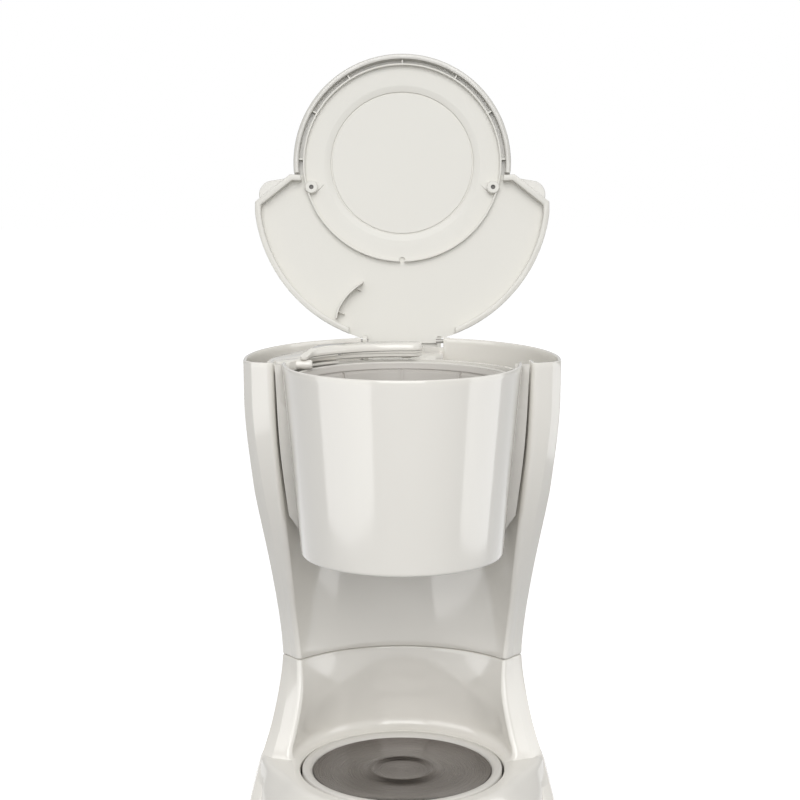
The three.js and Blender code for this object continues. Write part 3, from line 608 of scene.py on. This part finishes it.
def finish(name):
    """Finds a finish by name, making it the first time."""
    known = bpy.data.materials.get(name)
    if known:
        return known
    colours, sizes = bpy.context.scene.coffee_colours, bpy.context.scene.coffee_sizes
    grain = sizes.grain / MM
    if name == "glossy_abs":
        # Polished-mould ABS: a clear gloss over warm white, with a faint ripple in reflections.
        return moulded(name, colours.body, 0.13, grain * 6, 0.01, coat=0.6)
    if name == "lid_polypropylene":
        # Polypropylene from a finer-blasted mould: softer highlights than the body.
        return moulded(name, colours.lid, 0.36, grain, 0.012, coat=0.1)
    if name == "cover_abs_painted_shade":
        # The lid's cover: the body's ABS greyed as painted shade, for the shadowed ring the cover shows round the lid
        # panel.
        return moulded(name, colours.cover, 0.2, grain * 6, 0.01, coat=0.5)
    if name == "satin_polypropylene":
        # Satin polypropylene: an even sheen, slightly greyer than the body.
        return moulded(name, colours.satin, 0.42, grain, 0.015)
    if name == "basket_painted_shade_polypropylene":
        # The lift-out basket's polypropylene: the same resin, its colour a deeper grey as painted shade for the shaded
        # inside of the basket, and its tone blotched with stains of use.
        return moulded(name, colours.basket, 0.4, grain, 0.015, tint=0.93)
    if name == "grey_polypropylene":
        return moulded(name, colours.grey, 0.5, grain * 0.6, 0.03)
    if name == "spun_steel":
        # Spun and coated steel sheet: dark with wedge-shaped highlights. The real rings are
        # about 0.1 mm apart; they are drawn at 0.5 mm so that they show.
        return turned_steel(name, colours.plate, 0.27, 0.5, 0.01, 0.7)
    if name == "bright_steel":
        # Zinc-plated screws and pins.
        return metal(name, "C9C9C9", 0.26, 0.6)
    if name == "dark_steel_painted_shade":
        # Dark steel for the lid screws: painted shade that darkens the deep screw holes they sit in.
        return metal(name, "5C5A58", 0.45, 0.6)
    if name == "dull_steel":
        # Plain drawn wire, dulled by steam.
        return metal(name, "B4B2AE", 0.55, 0.6)
    if name == "drawn_aluminium":
        # Extruded heater tube, dulled by heat.
        return metal(name, "B4B6B8", 0.42, 0.8)
    if name == "nitrile_rubber":
        # Dull dark rubber with a soft mould grain.
        return moulded(name, colours.rubber, 0.82, 0.5, 0.05, ior=1.52, tint=0.85)
    if name == "silicone_hose":
        # Milky silicone: translucent-looking, dull.
        return moulded(name, "D8D4CC", 0.6, 0.8, 0.02, ior=1.41, **{'Subsurface Weight': 0.1})
    if name == "steatite":
        # Pressed, unglazed ceramic with a gritty break.
        return moulded(name, "E4E0D6", 0.72, 0.3, 0.05, ior=1.55)
    if name == "clear_san":
        # Clear SAN, tinted very slightly, moulded with a frosted inner face.
        return moulded(name, "CBD3D6", 0.12, 2.0, 0.01, coat=0.2, ior=1.57,
                       **{'Transmission Weight': 0.55})
    raise ValueError("no finish is called " + name)


# ---- operators ---------------------------------------------------------------------------
class COFFEE_OT_stage(bpy.types.Operator):
    """Set up the pale floor, the soft light and the camera"""
    bl_idname = "coffee.stage"
    bl_label = "Stage"

    def execute(self, context):
        pick()
        bpy.ops.mesh.primitive_plane_add(size=9, location=(0, 1.2, 0))
        floor = context.object
        floor.name = "studio_floor"
        floor.visible_diffuse = False
        floor.data.materials.append(moulded(
            "painted_floor", context.scene.coffee_colours.floor, 0.85, 4, 0.02, tint=0.995,
            **{'Emission Color': (1, 1, 1, 1), 'Emission Strength': 0.45}))
        self.surroundings(context.scene)
        self.softbox("key_softbox", (0.0, -1.9, 2.1), (2.0, 1.5), 33)
        self.softbox("front_softbox", (0.0, -2.2, 0.9), (1.7, 0.8), 12)
        # Two low upright panels stand beside the machine for its gloss alone.
        for name, place, size in (("left_panel", (-0.46, -0.35, 0.25), (0.58, 0.5)),
                                  ("right_panel", (0.55, -0.1, 0.25), (0.42, 0.5))):
            panel = self.softbox(name, place, size, 5.5 * size[0] * size[1])
            panel.visible_diffuse = False
            panel.visible_camera = False
        camera = bpy.data.cameras.new("camera")
        camera.lens = 80.9
        camera.sensor_width = 36
        camera.shift_x = -0.00275
        camera.clip_start = 0.05
        view = bpy.data.objects.new("camera", camera)
        view.location = (0, FILTER_Y - 1.165, 0.483)
        view.rotation_euler = (math.radians(90 - 9.4), 0, 0)
        context.collection.objects.link(view)
        context.scene.camera = view
        return {'FINISHED'}

    @staticmethod
    def surroundings(scene):
        """White walls and ceiling, dimmer below the horizon."""
        world = bpy.data.worlds.new("studio")
        world.use_nodes = True
        tree = world.node_tree
        tree.nodes.clear()
        direction = add_node(tree, 'ShaderNodeTexCoord').outputs['Generated']
        height = add_node(tree, 'ShaderNodeSeparateXYZ', {'Vector': direction}).outputs['Z']
        strength = add_node(tree, 'ShaderNodeMapRange', {
            'Value': height, 'From Min': -0.35, 'From Max': 0.05, 'To Min': 0.2, 'To Max': 0.58})
        seen = add_node(tree, 'ShaderNodeLightPath').outputs['Is Camera Ray']
        shown = add_node(tree, 'ShaderNodeMath', {0: strength.outputs['Result'], 1: seen},
                         operation='MAXIMUM')
        background = add_node(tree, 'ShaderNodeBackground', {
            'Color': (1, 1, 1, 1), 'Strength': shown.outputs['Value']})
        add_node(tree, 'ShaderNodeOutputWorld', {'Surface': background.outputs['Background']})
        scene.world = world
        scene.view_settings.view_transform = 'Standard'

    @staticmethod
    def softbox(name, location, size, power):
        light = bpy.data.lights.new(name, 'AREA')
        light.shape = 'RECTANGLE'
        light.size, light.size_y = size
        light.energy = power
        lamp = bpy.data.objects.new(name, light)
        lamp.location = location
        target = Vector((0, 0, 0.25)) - Vector(location)
        lamp.rotation_euler = target.to_track_quat('-Z', 'Y').to_euler()
        bpy.context.collection.objects.link(lamp)
        return lamp


class COFFEE_OT_upper_body(bpy.types.Operator):
    """Model the upper body with its water tank, and the level window in its side"""
    bl_idname = "coffee.upper_body"
    bl_label = "Upper body"

    def execute(self, context):
        soft = context.scene.coffee_sizes.rim_round / MM
        rings = [(SEAM_Z, 0.9), (SEAM_Z + 0.3, 0.3), (SEAM_Z + 1, 0)]
        rings += [(z, 0) for z in levels(SEAM_Z + 5, RIM_Z - 4, 40)]
        rings += [(RIM_Z - soft, 0), (RIM_Z - soft * 0.3, soft * 0.3), (RIM_Z, soft)]
        rings += [(RIM_Z, WALL - soft), (RIM_Z - soft * 0.3, WALL - soft * 0.3), (RIM_Z - soft, WALL)]
        rings += [(z, WALL) for z in levels(RIM_Z - 4, TANK_FLOOR, 30)]
        body = raise_rings("body_upper", [[(x, y, z) for x, y in horseshoe(z, by)] for z, by in rings])
        lowered = raise_rings("lowered", [[(x, y, z) for x, y in
                                           arc(0, 0, 92, 92, 7.5, 172.5, 72)] for z in (HOLDER_TOP, 322)])
        cut(body, lowered)
        deck = block("deck", (-29, 29), (84, 117), (HOLDER_TOP - 2.4, HOLDER_TOP))
        cheeks = [block("cheek", (x, x + 2.2), (86, 129.5), (262, HOLDER_TOP)) for x in (-29, 26.8)]
        boss = turned("boss", [(4.35, 280), (8.5, 280), (8.5, HOLDER_TOP), (4.35, HOLDER_TOP)], 48, ARM_PIVOT)
        add_to(body, deck, *cheeks)
        cut(body, block("notch", (-29.7, 29.7), (118, 140), (308, RIM_Z + 4)))
        for x in ((-34.6, -30), (30, 34.6)):
            lug = block("lug", x, (123, 130.6), (303, 314.6), 0.6)
            add_to(body, lug)
        cut(body, block("slot", (70, 112), WINDOW_Y, WINDOW_Z))
        add_to(body, boss)
        finish_piece(body, finish("glossy_abs"), "body", "white_plastic", "upper_housing")
        self.level_window()
        return {'FINISHED'}

    @staticmethod
    def level_window():
        low, high = WINDOW_Z[0] - 6, WINDOW_Z[1] + 6
        outer = [[(x, y, z) for x, y in horseshoe(z, 0.1)] for z in levels(low, high, 24)]
        inner = [[(x, y, z) for x, y in horseshoe(z, WALL)] for z in levels(low - 1, high + 1, 24)]
        window = cut(raise_rings("level_window_strip", outer), raise_rings("inner", inner))
        gap = 0.35
        keep = block("keep", (70, 112), (WINDOW_Y[0] + gap, WINDOW_Y[1] - gap),
                     (WINDOW_Z[0] + gap, WINDOW_Z[1] - gap))
        combine(window, keep, 'INTERSECT')
        bevel(window, 0.4, 2)
        finish_piece(window, finish("clear_san"), "body", "clear_plastic", "level_window")


class COFFEE_OT_base(bpy.types.Operator):
    """Model the base: the foot of the columns, the deck round the plate and its nose"""
    bl_idname = "coffee.base"
    bl_label = "Base"

    def execute(self, context):
        fillet = context.scene.coffee_sizes.bay_fillet / MM
        top = SEAM_Z - 0.35
        column = [(z, -0.5) for z in levels(6, DECK_Z - 2, 12)]
        column += [(z, 0) for z in levels(DECK_Z, DECK_Z + fillet, 8)]
        column += [(z, 0) for z in levels(DECK_Z + fillet + 1.5, top - 1, 26)]
        column += [(top - 0.3, 0.3), (top, 0.9), (top, WALL), (top - WALL, WALL + 0.4)]
        rings = [[(x, y, z) for x, y in horseshoe(z, by, fillet)] for z, by in column]
        base = raise_rings("body_lower", rings)
        deck = [(3.6, 1.0), (4.0, 0.3), (5, 0)] + [(z, 0) for z in levels(7, DECK_Z - 3, 14)]
        deck += [(DECK_Z - 1.6, 0.3), (DECK_Z - 0.7, 0.9), (DECK_Z - 0.15, 2), (DECK_Z, 3.4)]
        foot = raise_rings("foot", [[(x, y, z) for x, y in foot_plan(z, by)] for z, by in deck])
        add_to(base, foot)
        hollow = [[(x, y, z) for x, y in foot_plan(z, WALL)] for z in (2, 12, 22, 30)]
        cut(base, raise_rings("hollow", hollow))
        cut(base, turned("plate_hole", [(0, 20), (69.2, 20), (69.2, 37.2), (70, 38.2), (70, 45), (0, 45)]))
        cut(base, block("switch_hole", (-17.3, 17.3), (-100, -70), (8.7, 25.3)))
        finish_piece(base, finish("glossy_abs"), "body", "white_plastic", "base_housing")
        return {'FINISHED'}


class COFFEE_OT_front_cover(bpy.types.Operator):
    """Model the half-round front cover"""
    bl_idname = "coffee.front_cover"
    bl_label = "Front cover"

    def execute(self, context):
        low, high = SHELL_Z
        steps = [(low, 1.1), (low + 0.35, 0.4), (low + 1.1, 0)] + [(z, 0) for z in levels(low + 2, low + 10, 8)]
        steps += [(z, 0) for z in levels(low + 14, high - 4, 12)]
        steps += [(high - 1.1, 0), (high - 0.35, 0.4), (high, 1.1)]
        cover = raise_rings("front_cover", [self.ring(z, by) for z, by in steps])
        finish_piece(cover, finish("glossy_abs"), "body", "white_plastic", "front_shell")
        return {'FINISHED'}

    @staticmethod
    def ring(z, by):
        """A half-round strip with full-round edges; its lower corners are rounded off."""
        radius, wall, corner = shell_radius(z), 2.6, 7
        rise = max(0, corner - (z - SHELL_Z[0]))
        end = 3 - (corner - math.sqrt(corner ** 2 - rise ** 2)) - wall / 2
        mid = radius - wall / 2
        half = wall / 2 - by
        turn = math.degrees(math.asin(end / mid))
        outer = arc(0, 0, mid + half, mid + half, 180 - turn, 360 + turn, 96)
        inner = arc(0, 0, mid - half, mid - half, 360 + turn, 180 - turn, 96)
        bead = [arc(mid * math.cos(math.radians(a)), mid * math.sin(math.radians(a)), half, half, s, s + 180, 6)
                for a, s in ((turn, turn), (180 - turn, -turn))]
        plan = outer + bead[0][1:-1] + inner + bead[1][1:-1]
        return [(x, y, z) for x, y in plan]


class COFFEE_OT_filter(bpy.types.Operator):
    """Model the filter holder with its wings, and the ribbed lift-out basket"""
    bl_idname = "coffee.filter"
    bl_label = "Filter holder and basket"

    def execute(self, context):
        self.holder()
        self.basket()
        return {'FINISHED'}

    @staticmethod
    def holder():
        low, top, gap = 194, HOLDER_TOP, 3.3
        outer_low, outer_top = shell_radius(low) - gap, shell_radius(top) - gap
        cup = turned("filter_holder", [
            (13, low), (outer_low - 2, low), (outer_low, low + 2), (outer_top, top - 0.5),
            (outer_top - 0.5, top), (outer_top - 1.3, top), (outer_top - 1.8, top - 0.5),
            (outer_low - 2.2, low + 3), (outer_low - 3.4, low + 2), (13, low + 2)])
        core = turned("core", [(0, low), (outer_low - 0.9, low), (shell_radius(RIM_Z) - gap - 0.9, RIM_Z), (0, RIM_Z)])
        depth, rings = 5.5, []
        for z in [197, 208] + levels(214, RIM_Z - 1.5, 13):
            front = along(FRONT_EDGE, z) + 3
            half = 69.5 if z < 200 else bay_half_width(z, front + depth) - 0.9
            rings.append([(-half, front, z), (half, front, z), (half, front + depth, z), (-half, front + depth, z)])
        wings = raise_rings("wings", rings)
        cone = turned("cone", [(0, SHELL_Z[0]), (SHELL_R[0] + 0.35, SHELL_Z[0]), (SHELL_R[1] + 0.35, SHELL_Z[1]),
                               (0, SHELL_Z[1])])
        cut(cone, block("behind", (-95, 95), (3.35, 95), (180, 325)))
        cut(wings, core, cone)
        bevel(wings, 0.5, 2, 60)
        add_to(cup, wings)
        finish_piece(cup, finish("satin_polypropylene"), "body", "satin_plastic", "filter_housing")

    @staticmethod
    def basket():
        floor, top = 199, 304

        def wall(z):
            return 51 + 18.2 * (z - floor) / 100

        basket = turned("basket", [
            (5, 196.6), (9, 196.6), (9, floor), (wall(floor) - 2, floor), (wall(floor), floor + 2),
            (wall(299), 299), (70.6, 299.8), (71.5, 301), (71.8, top - 0.5), (71.4, top), (70.6, top),
            (70.1, top - 0.4), (68.5, 301.2), (68.5, 300.8), (69.1, 300.4), (68.9, 299.6), (wall(298) - 1.6, 298.6),
            (wall(floor) - 1.6, floor + 3.6), (wall(floor) - 3.4, floor + 1.8), (5, floor + 1.8)])
        for i in range(10):
            a = math.radians(90 + 36 * i)
            rib = []
            for z, r0, r1 in ((floor + 0.8, 44, 50.2), (300.2, 66.0, 69.6)):
                corners = ((r0, -0.7), (r1, -0.7), (r1, 0.7), (r0, 0.7))
                rib.append([(r * math.cos(a) - s * math.sin(a), r * math.sin(a) + s * math.cos(a), z)
                            for r, s in corners])
            add_to(basket, raise_rings("rib", rib))
        finish_piece(basket, finish("basket_painted_shade_polypropylene"), "basket", "satin_plastic", "filter_basket")


class COFFEE_OT_spout(bpy.types.Operator):
    """Model the two halves of the swivel spout and the tank's corner cap"""
    bl_idname = "coffee.spout"
    bl_label = "Spout and riser cap"

    def execute(self, context):
        crown = [(312.05, 0.3), (312.2, 0.05), (312.5, 0), (313.9, 0), (314.9, 0.2), (315.7, 0.6),
                 (316.3, 1.0), (316.65, 1.35), (316.8, 1.7)]
        top = slab("spout_top", spout_plan, crown)
        slope = [(a, y, z) for a in (-80,) for y, z in ((29, 313.4), (66, 317.6), (66, 322), (29, 322))]
        cut(top, raise_rings("slope", [slope, [(-50, y, z) for _, y, z in slope]]))
        finish_piece(top, finish("glossy_abs"), "spout_arm", "white_plastic", "arm_top")
        under = slab("spout_under", sickle, [(307.2, 2.2), (307.5, 1.4), (308.2, 0.8), (309.9, 0.6), (310.3, 0.9)])
        middle = slab("middle", sickle, [(309.5, 1.2), (310.5, 0.1), (310.8, 0), (311.5, 0), (CAP_TOP, 0.25)])
        combine(middle, block("exposed", (-42, 30), (60, 100), (309, 313)), 'INTERSECT')
        add_to(under, middle)
        mid, a = (ARM_INNER + ARM_OUTER) / 2, math.radians(ARM_TIP + 2)
        nozzle = turned("nozzle", [(2.2, 306.2), (3.4, 306.2), (3.6, 306.5), (3.6, 308.5), (2.2, 308.5)], 48,
                        (mid * math.cos(a), mid * math.sin(a)))
        spindle = turned("spindle", [(0, 297), (2.8, 297), (3.2, 297.4), (3.2, 308.5), (0, 308.5)], 48, ARM_PIVOT)
        add_to(under, nozzle, spindle)
        finish_piece(under, finish("glossy_abs"), "spout_arm", "white_plastic", "arm_bottom")
        self.cap()
        return {'FINISHED'}

    @staticmethod
    def cap():
        low, bed, high = CAP_LOW, CAP_BED, CAP_TOP

        def plan(by):
            return inset(arc(0, BACK_CENTRE_Y, 91, 91, 130, 176, 40) + arc(0, 0, 78.6, 78.6, 163, 124, 32), by)

        cap = slab("riser_cap_top", plan, [(low, 0), (high - 0.8, 0), (high - 0.25, 0.25), (high, 0.8)])
        parked = raise_rings("parked", [[(x, y, z) for x, y in sickle(-1.6)] for z in (bed, high - 1)])
        swept = raise_rings("swept", [[(x, y, z) for x, y in arc(0, 0, 86, 86, 60, 148, 40) + [(0, 0)]]
                                      for z in (bed, high - 1)])
        cut(cap, parked, swept)
        nose = rod_x("nose", 3.2, (-83, -60.5), 35.5, low + 3.2)
        bevel(nose, 1.4, 4, 60)
        add_to(cap, nose)
        add_to(cap, turned("seat", [(3.6, low), (11.5, low), (11.5, bed), (3.6, bed)], 48, ARM_PIVOT))
        finish_piece(cap, finish("glossy_abs"), "body", "white_plastic", "riser_cap")


class COFFEE_OT_lid(bpy.types.Operator):
    """Model the lid's inner panel and outer cover, drawn closed and then opened"""
    bl_idname = "coffee.lid"
    bl_label = "Lid"

    def execute(self, context):
        self.panel()
        self.cover()
        return {'FINISHED'}

    def panel(self):
        under, ring_r = LID_UNDER, 72.7
        def plan(by):
            front = arc(0, 0, ring_r - by, ring_r - by, 180 - 6.5, 360 + 6.5, 96)
            return front + crescent_edge(by)

        panel = slab("lid_inner", plan, [(under, 0), (under + 2, 0), (under + 2.4, 0.4)])
        wall = [(under + 1, 0), (316.2, 0), (315.75, 0.25), (315.5, 0.8)]
        rim = raise_rings("rim", [[(x, y, z) for x, y in
                                   crescent_edge(by) + list(reversed(crescent_edge(4.2 - by)))]
                                  for z, by in wall])
        cut(rim, block("hinge_gap", (-39, 39), (110, 142), (314, under - 0.01)))
        add_to(panel, rim, block("tongue", (-28.4, 28.4), (122, TAB_BACK - 0.1), (under, under + 2.35)))
        add_to(panel, turned("ring", [(ring_r - 1.3, under - 3.7), (ring_r - 1.0, under - 4),
                                      (ring_r - 0.3, under - 4), (ring_r, under - 3.7),
                                      (ring_r, under + 1), (ring_r - 1.3, under + 1)]))
        cut(panel, turned("recess", [(0, under - 3), (60, under - 3), (60, under - 0.02), (57.4, under),
                                     (56.8, under + 0.06), (52.6, under + 1.1), (52.3, under + 2),
                                     (51.4, under + 2), (51.2, under + 1.15), (0, under + 1.15)]))
        for s in (-1, 1):
            centre = (s * 66.4, 18)
            inward = math.degrees(math.atan2(-centre[1], -centre[0]))
            drop = [(centre[0] + 9.5 * math.cos(math.radians(inward)),
                     centre[1] + 9.5 * math.sin(math.radians(inward)))]
            drop += arc(*centre, 5.2, 5.2, inward + 62, inward + 298, 20)
            fairing = raise_rings("fairing", [[(x, y, under + 1) for x, y in drop],
                                              [(x, y, under - 0.2) for x, y in drop[:1]]
                                              + [(centre[0] + (x - centre[0]) * 0.9,
                                                  centre[1] + (y - centre[1]) * 0.9, under - 1.8)
                                                 for x, y in drop[1:]]])
            boss = turned("boss", [(0, under + 1), (4.7, under + 1), (4.7, under - 4.4), (4.1, under - 5), (0, under - 5)],
                          48, centre)
            add_to(panel, fairing, boss)
            cut(panel, turned("screw_hole", [(0, under - 6), (1.7, under - 6), (1.7, under - 4.2), (2.95, under - 3.8),
                                             (2.95, under - 1), (1.85, under - 1), (1.85, under + 4), (0, under + 4)],
                              32, centre))
            x = (25.6, 28.6) if s > 0 else (-28.6, -25.6)
            tab = block("tab", x, (HINGE_Y - 4, TAB_BACK), (HINGE_Z - 1, under + 1), 0.5)
            eye = rod_x("eye", 4, x, HINGE_Y - 0.6, HINGE_Z)
            add_to(panel, tab, eye)
        add_to(panel, block("hinge_bar", (-26, 26), (TAB_BACK - 3.2, TAB_BACK - 0.2), (315.5, under + 1.1), 0.5))
        for spoke in (0, 32, 60, 88):
            for s in ((-1, 1) if spoke else (1,)):
                a = math.radians(270 + s * spoke)
                corners = ((72.2, -0.5), (75.4, -0.5), (75.4, 0.5), (72.2, 0.5))
                add_to(panel, raise_rings("spoke", [[
                    (r * math.cos(a) - t * math.sin(a), r * math.sin(a) + t * math.cos(a), z)
                    for r, t in corners] for z in (under - 3.2, under + 2)]))
        cut(panel, turned("notch", [(0, under - 6), (2.2, under - 6), (2.2, under + 1.4), (0, under + 1.4)],
                          32, (0, ring_r - 1.6)))
        self.fin(panel)
        open_lid(panel)
        finish_piece(panel, finish("lid_polypropylene"), "lid", "white_plastic", "lid_panel")

    @staticmethod
    def fin(panel):
        """The curved blade that turns the spout as the lid closes, with two gussets."""
        line = [(-28.4, 86.9), (-34.5, 91.4), (-40, 96.4), (-44.5, 102.4), (-47.5, 108.4), (-48.5, 114.4)]
        smooth = spline(line, 4)

        def blade(by):
            inner = [(x + 1.0 - by, y + 0.8 - by) for x, y in smooth[1:-1]]
            outer = [(x + by * 0.5, y + by * 0.5) for x, y in smooth]
            return outer + inner[::-1]

        low = LID_UNDER - 9
        add_to(panel, slab("blade", blade, [(LID_UNDER + 1, 0), (low + 0.4, 0), (low, 0.25)]))
        for k, size in ((4, 4.5), (16, 5.5)):
            x, y = smooth[k]
            gusset = [[(x, y, z), (x + size, y + size * 0.45 - 0.5, z), (x + size, y + size * 0.45 + 0.5, z),
                       (x, y + 1, z)] for z in (LID_UNDER + 1, LID_UNDER - 3)]
            gusset.append([(x, y, low + 2), (x + 0.8, y + 0.1, low + 2), (x + 0.8, y + 0.9, low + 2), (x, y + 1, low + 2)])
            add_to(panel, raise_rings("gusset", gusset))

    @staticmethod
    def cover():
        top, wing = LID_UNDER + 2.75, LID_WING_R - 0.4

        def plan(by):
            right = arc(0, 0, LID_R, LID_R, 272, 367, 60) + arc(95, 22.5, 10.2, 10.2, -75, 35, 18)
            right += arc(0, BACK_CENTRE_Y + 0.2, wing, wing, 6, 88, 48)
            return inset(mirrored(right), by)

        rings = [[(x, y, z) for x, y in plan(by)] for z, by in
                 ((top, 0.4), (top + 0.4, 0), (top + 2.4, 0), (top + 3.4, 0.5), (top + 4.1, 1.6), (top + 4.5, 3.4))]
        edge = rings[-1]
        for size, rise in ((0.93, 0.35), (0.82, 0.7), (0.66, 1.05), (0.45, 1.35), (0.22, 1.5)):
            rings.append([(x * size, 22 + (y - 22) * size, z + rise) for x, y, z in edge])
        cover = raise_rings("lid_outer", rings)
        skirt = []
        for z, by in ((top + 1, 0), (318.6, 0), (317.9, 0.35), (317.5, 1.1)):
            strip = (arc(0, 0, LID_R - by, LID_R - by, 174.5, 365.5, 110)
                     + arc(0, 0, 75.6 + by, 75.6 + by, 365.5, 174.5, 110))
            skirt.append([(x, y, z) for x, y in strip])
        add_to(cover, raise_rings("skirt", skirt))
        for s in (-1, 1):
            cut(cover, turned("screw_hole", [(0, top - 2), (1.85, top - 2), (1.85, top + 2.4), (0, top + 2.4)],
                              32, (s * 66.4, 18)))
        open_lid(cover)
        finish_piece(cover, finish("cover_abs_painted_shade"), "lid", "white_plastic", "lid_cover")


class COFFEE_OT_hot_plate(bpy.types.Operator):
    """Model the pressed steel hot plate and the ring that holds it"""
    bl_idname = "coffee.hot_plate"
    bl_label = "Hot plate"

    def execute(self, context):
        r = PLATE_R
        plate = turned("hot_plate_disc", [
            (0, 34.9), (10, 34.9), (17, 35.1), (18.6, 35.6), (19.6, 36.6), (20.6, 37.1), (21.8, 37.2),
            (23.2, 36.9), (24.4, 36.0), (26, 35.3), (30, 34.9), (44, 34.7), (r - 3, 35.4), (r - 1.2, 36.3),
            (r - 0.4, 36.3), (r, 35.8), (r, 30), (r - 1.4, 30), (r - 1.4, 34.4), (r - 4, 33.6),
            (26, 33.4), (0, 33.4)], 192)
        finish_piece(plate, finish("spun_steel"), "body", "plate_steel", "hot_plate")
        ring = turned("plate_seal", [
            (r + 0.35, 31), (r + 7.2, 31), (r + 7.2, 37.4), (r + 6.8, 38.1), (r + 6, 38.5), (r + 3.4, 38.5),
            (r + 2.4, 38.2), (r + 0.9, 36.9), (r + 0.35, 36)], 192)
        finish_piece(ring, finish("satin_polypropylene"), "body", "satin_plastic", "plate_ring")
        return {'FINISHED'}


class COFFEE_OT_switch(bpy.types.Operator):
    """Model the power switch: its frame and its rocker"""
    bl_idname = "coffee.switch"
    bl_label = "Power switch"

    def execute(self, context):
        surround = block("switch_surround", (-17, 17), (-90.6, -80), (9, 25), 0.8)
        cut(surround, block("opening", (-14.4, 14.4), (-92, -78), (11, 23)))
        finish_piece(surround, finish("grey_polypropylene"), "body", "grey_plastic", "switch_frame")
        low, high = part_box("switch_rocker")
        y, z = -84.4, 17
        tilt = math.radians(-7)
        face = [(1.4, 4.2), (-4, 5), (-6.0, 4.85), (-6.2, 4.4), (-5.7, 2.4), (-5.4, 0)]
        side = face + [(u, -v) for u, v in reversed(face[:-1])]
        turned_side = [(y + u * math.cos(tilt) - v * math.sin(tilt), z + u * math.sin(tilt) + v * math.cos(tilt))
                       for u, v in side]
        key = raise_rings("switch_key", [[(x, u, v) for u, v in turned_side] for x in (-14, 14)])
        bevel(key, 0.35, 2, 50)
        finish_piece(key, finish("satin_polypropylene"), "rocker", "satin_plastic", "switch_rocker")
        if not low.x < 0 < high.x:
            raise RuntimeError("the rocker is not in the middle of the base")
        return {'FINISHED'}


CARRIED_OVER = {
    "grey_polypropylene": ("bottom_cover", "drip_stem", "cable_inlet"),
    "satin_polypropylene": ("riser_tube", "outlet_valve", "drip_guide"),
    "drawn_aluminium": ("heater_element", "water_pipe"),
    "silicone_hose": ("inlet_hose", "riser_hose"),
    "steatite": ("thermostat",),
    "bright_steel": ("thermostat_strap", "thermal_fuse_1", "thermal_fuse_2", "base_screw_1", "base_screw_2",
                     "base_screw_3", "base_screw_4", "drip_spring"),
    # The lid screws' dark finish is painted shade for their deep holes.
    "dark_steel_painted_shade": ("lid_screw_1", "lid_screw_2"),
    "dull_steel": ("hinge_pin_1", "hinge_pin_2"),
    "nitrile_rubber": ("foot_1", "foot_2", "foot_3", "foot_4", "drip_seal"),
}


class COFFEE_OT_small_parts(bpy.types.Operator):
    """Give the frame's own small parts their finishes"""
    bl_idname = "coffee.small_parts"
    bl_label = "Small parts"

    def execute(self, context):
        for name, nodes in CARRIED_OVER.items():
            for node in nodes:
                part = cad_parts[node]
                part.data.materials.clear()
                part.data.materials.append(finish(name))
        return {'FINISHED'}


OPERATORS = (COFFEE_OT_stage, COFFEE_OT_upper_body, COFFEE_OT_base, COFFEE_OT_front_cover, COFFEE_OT_filter,
             COFFEE_OT_spout, COFFEE_OT_lid, COFFEE_OT_hot_plate, COFFEE_OT_switch, COFFEE_OT_small_parts)


class COFFEE_PT_panel(bpy.types.Panel):
    """Lists the coffee maker's pieces and their sizes and colours"""
    bl_idname = "COFFEE_PT_panel"
    bl_label = "Coffee maker"
    bl_space_type = 'VIEW_3D'
    bl_region_type = 'UI'
    bl_category = "Coffee maker"

    def draw(self, context):
        for operator in OPERATORS:
            self.layout.operator(operator.bl_idname)
        for group in (context.scene.coffee_sizes, context.scene.coffee_colours):
            for key in group.bl_rna.properties.keys():
                if key not in ("rna_type", "name"):
                    self.layout.prop(group, key)


CLASSES = (CoffeeMakerSizes, CoffeeMakerColours) + OPERATORS + (COFFEE_PT_panel,)


def register():
    for cls in CLASSES:
        bpy.utils.register_class(cls)
    bpy.types.Scene.coffee_sizes = bpy.props.PointerProperty(type=CoffeeMakerSizes)
    bpy.types.Scene.coffee_colours = bpy.props.PointerProperty(type=CoffeeMakerColours)


def unregister():
    del bpy.types.Scene.coffee_sizes
    del bpy.types.Scene.coffee_colours
    for cls in reversed(CLASSES):
        bpy.utils.unregister_class(cls)


def main():
    register()
    for operator in OPERATORS:
        getattr(bpy.ops.coffee, operator.bl_idname.split(".")[1])()
    pick()


if __name__ == "__main__":
    main()
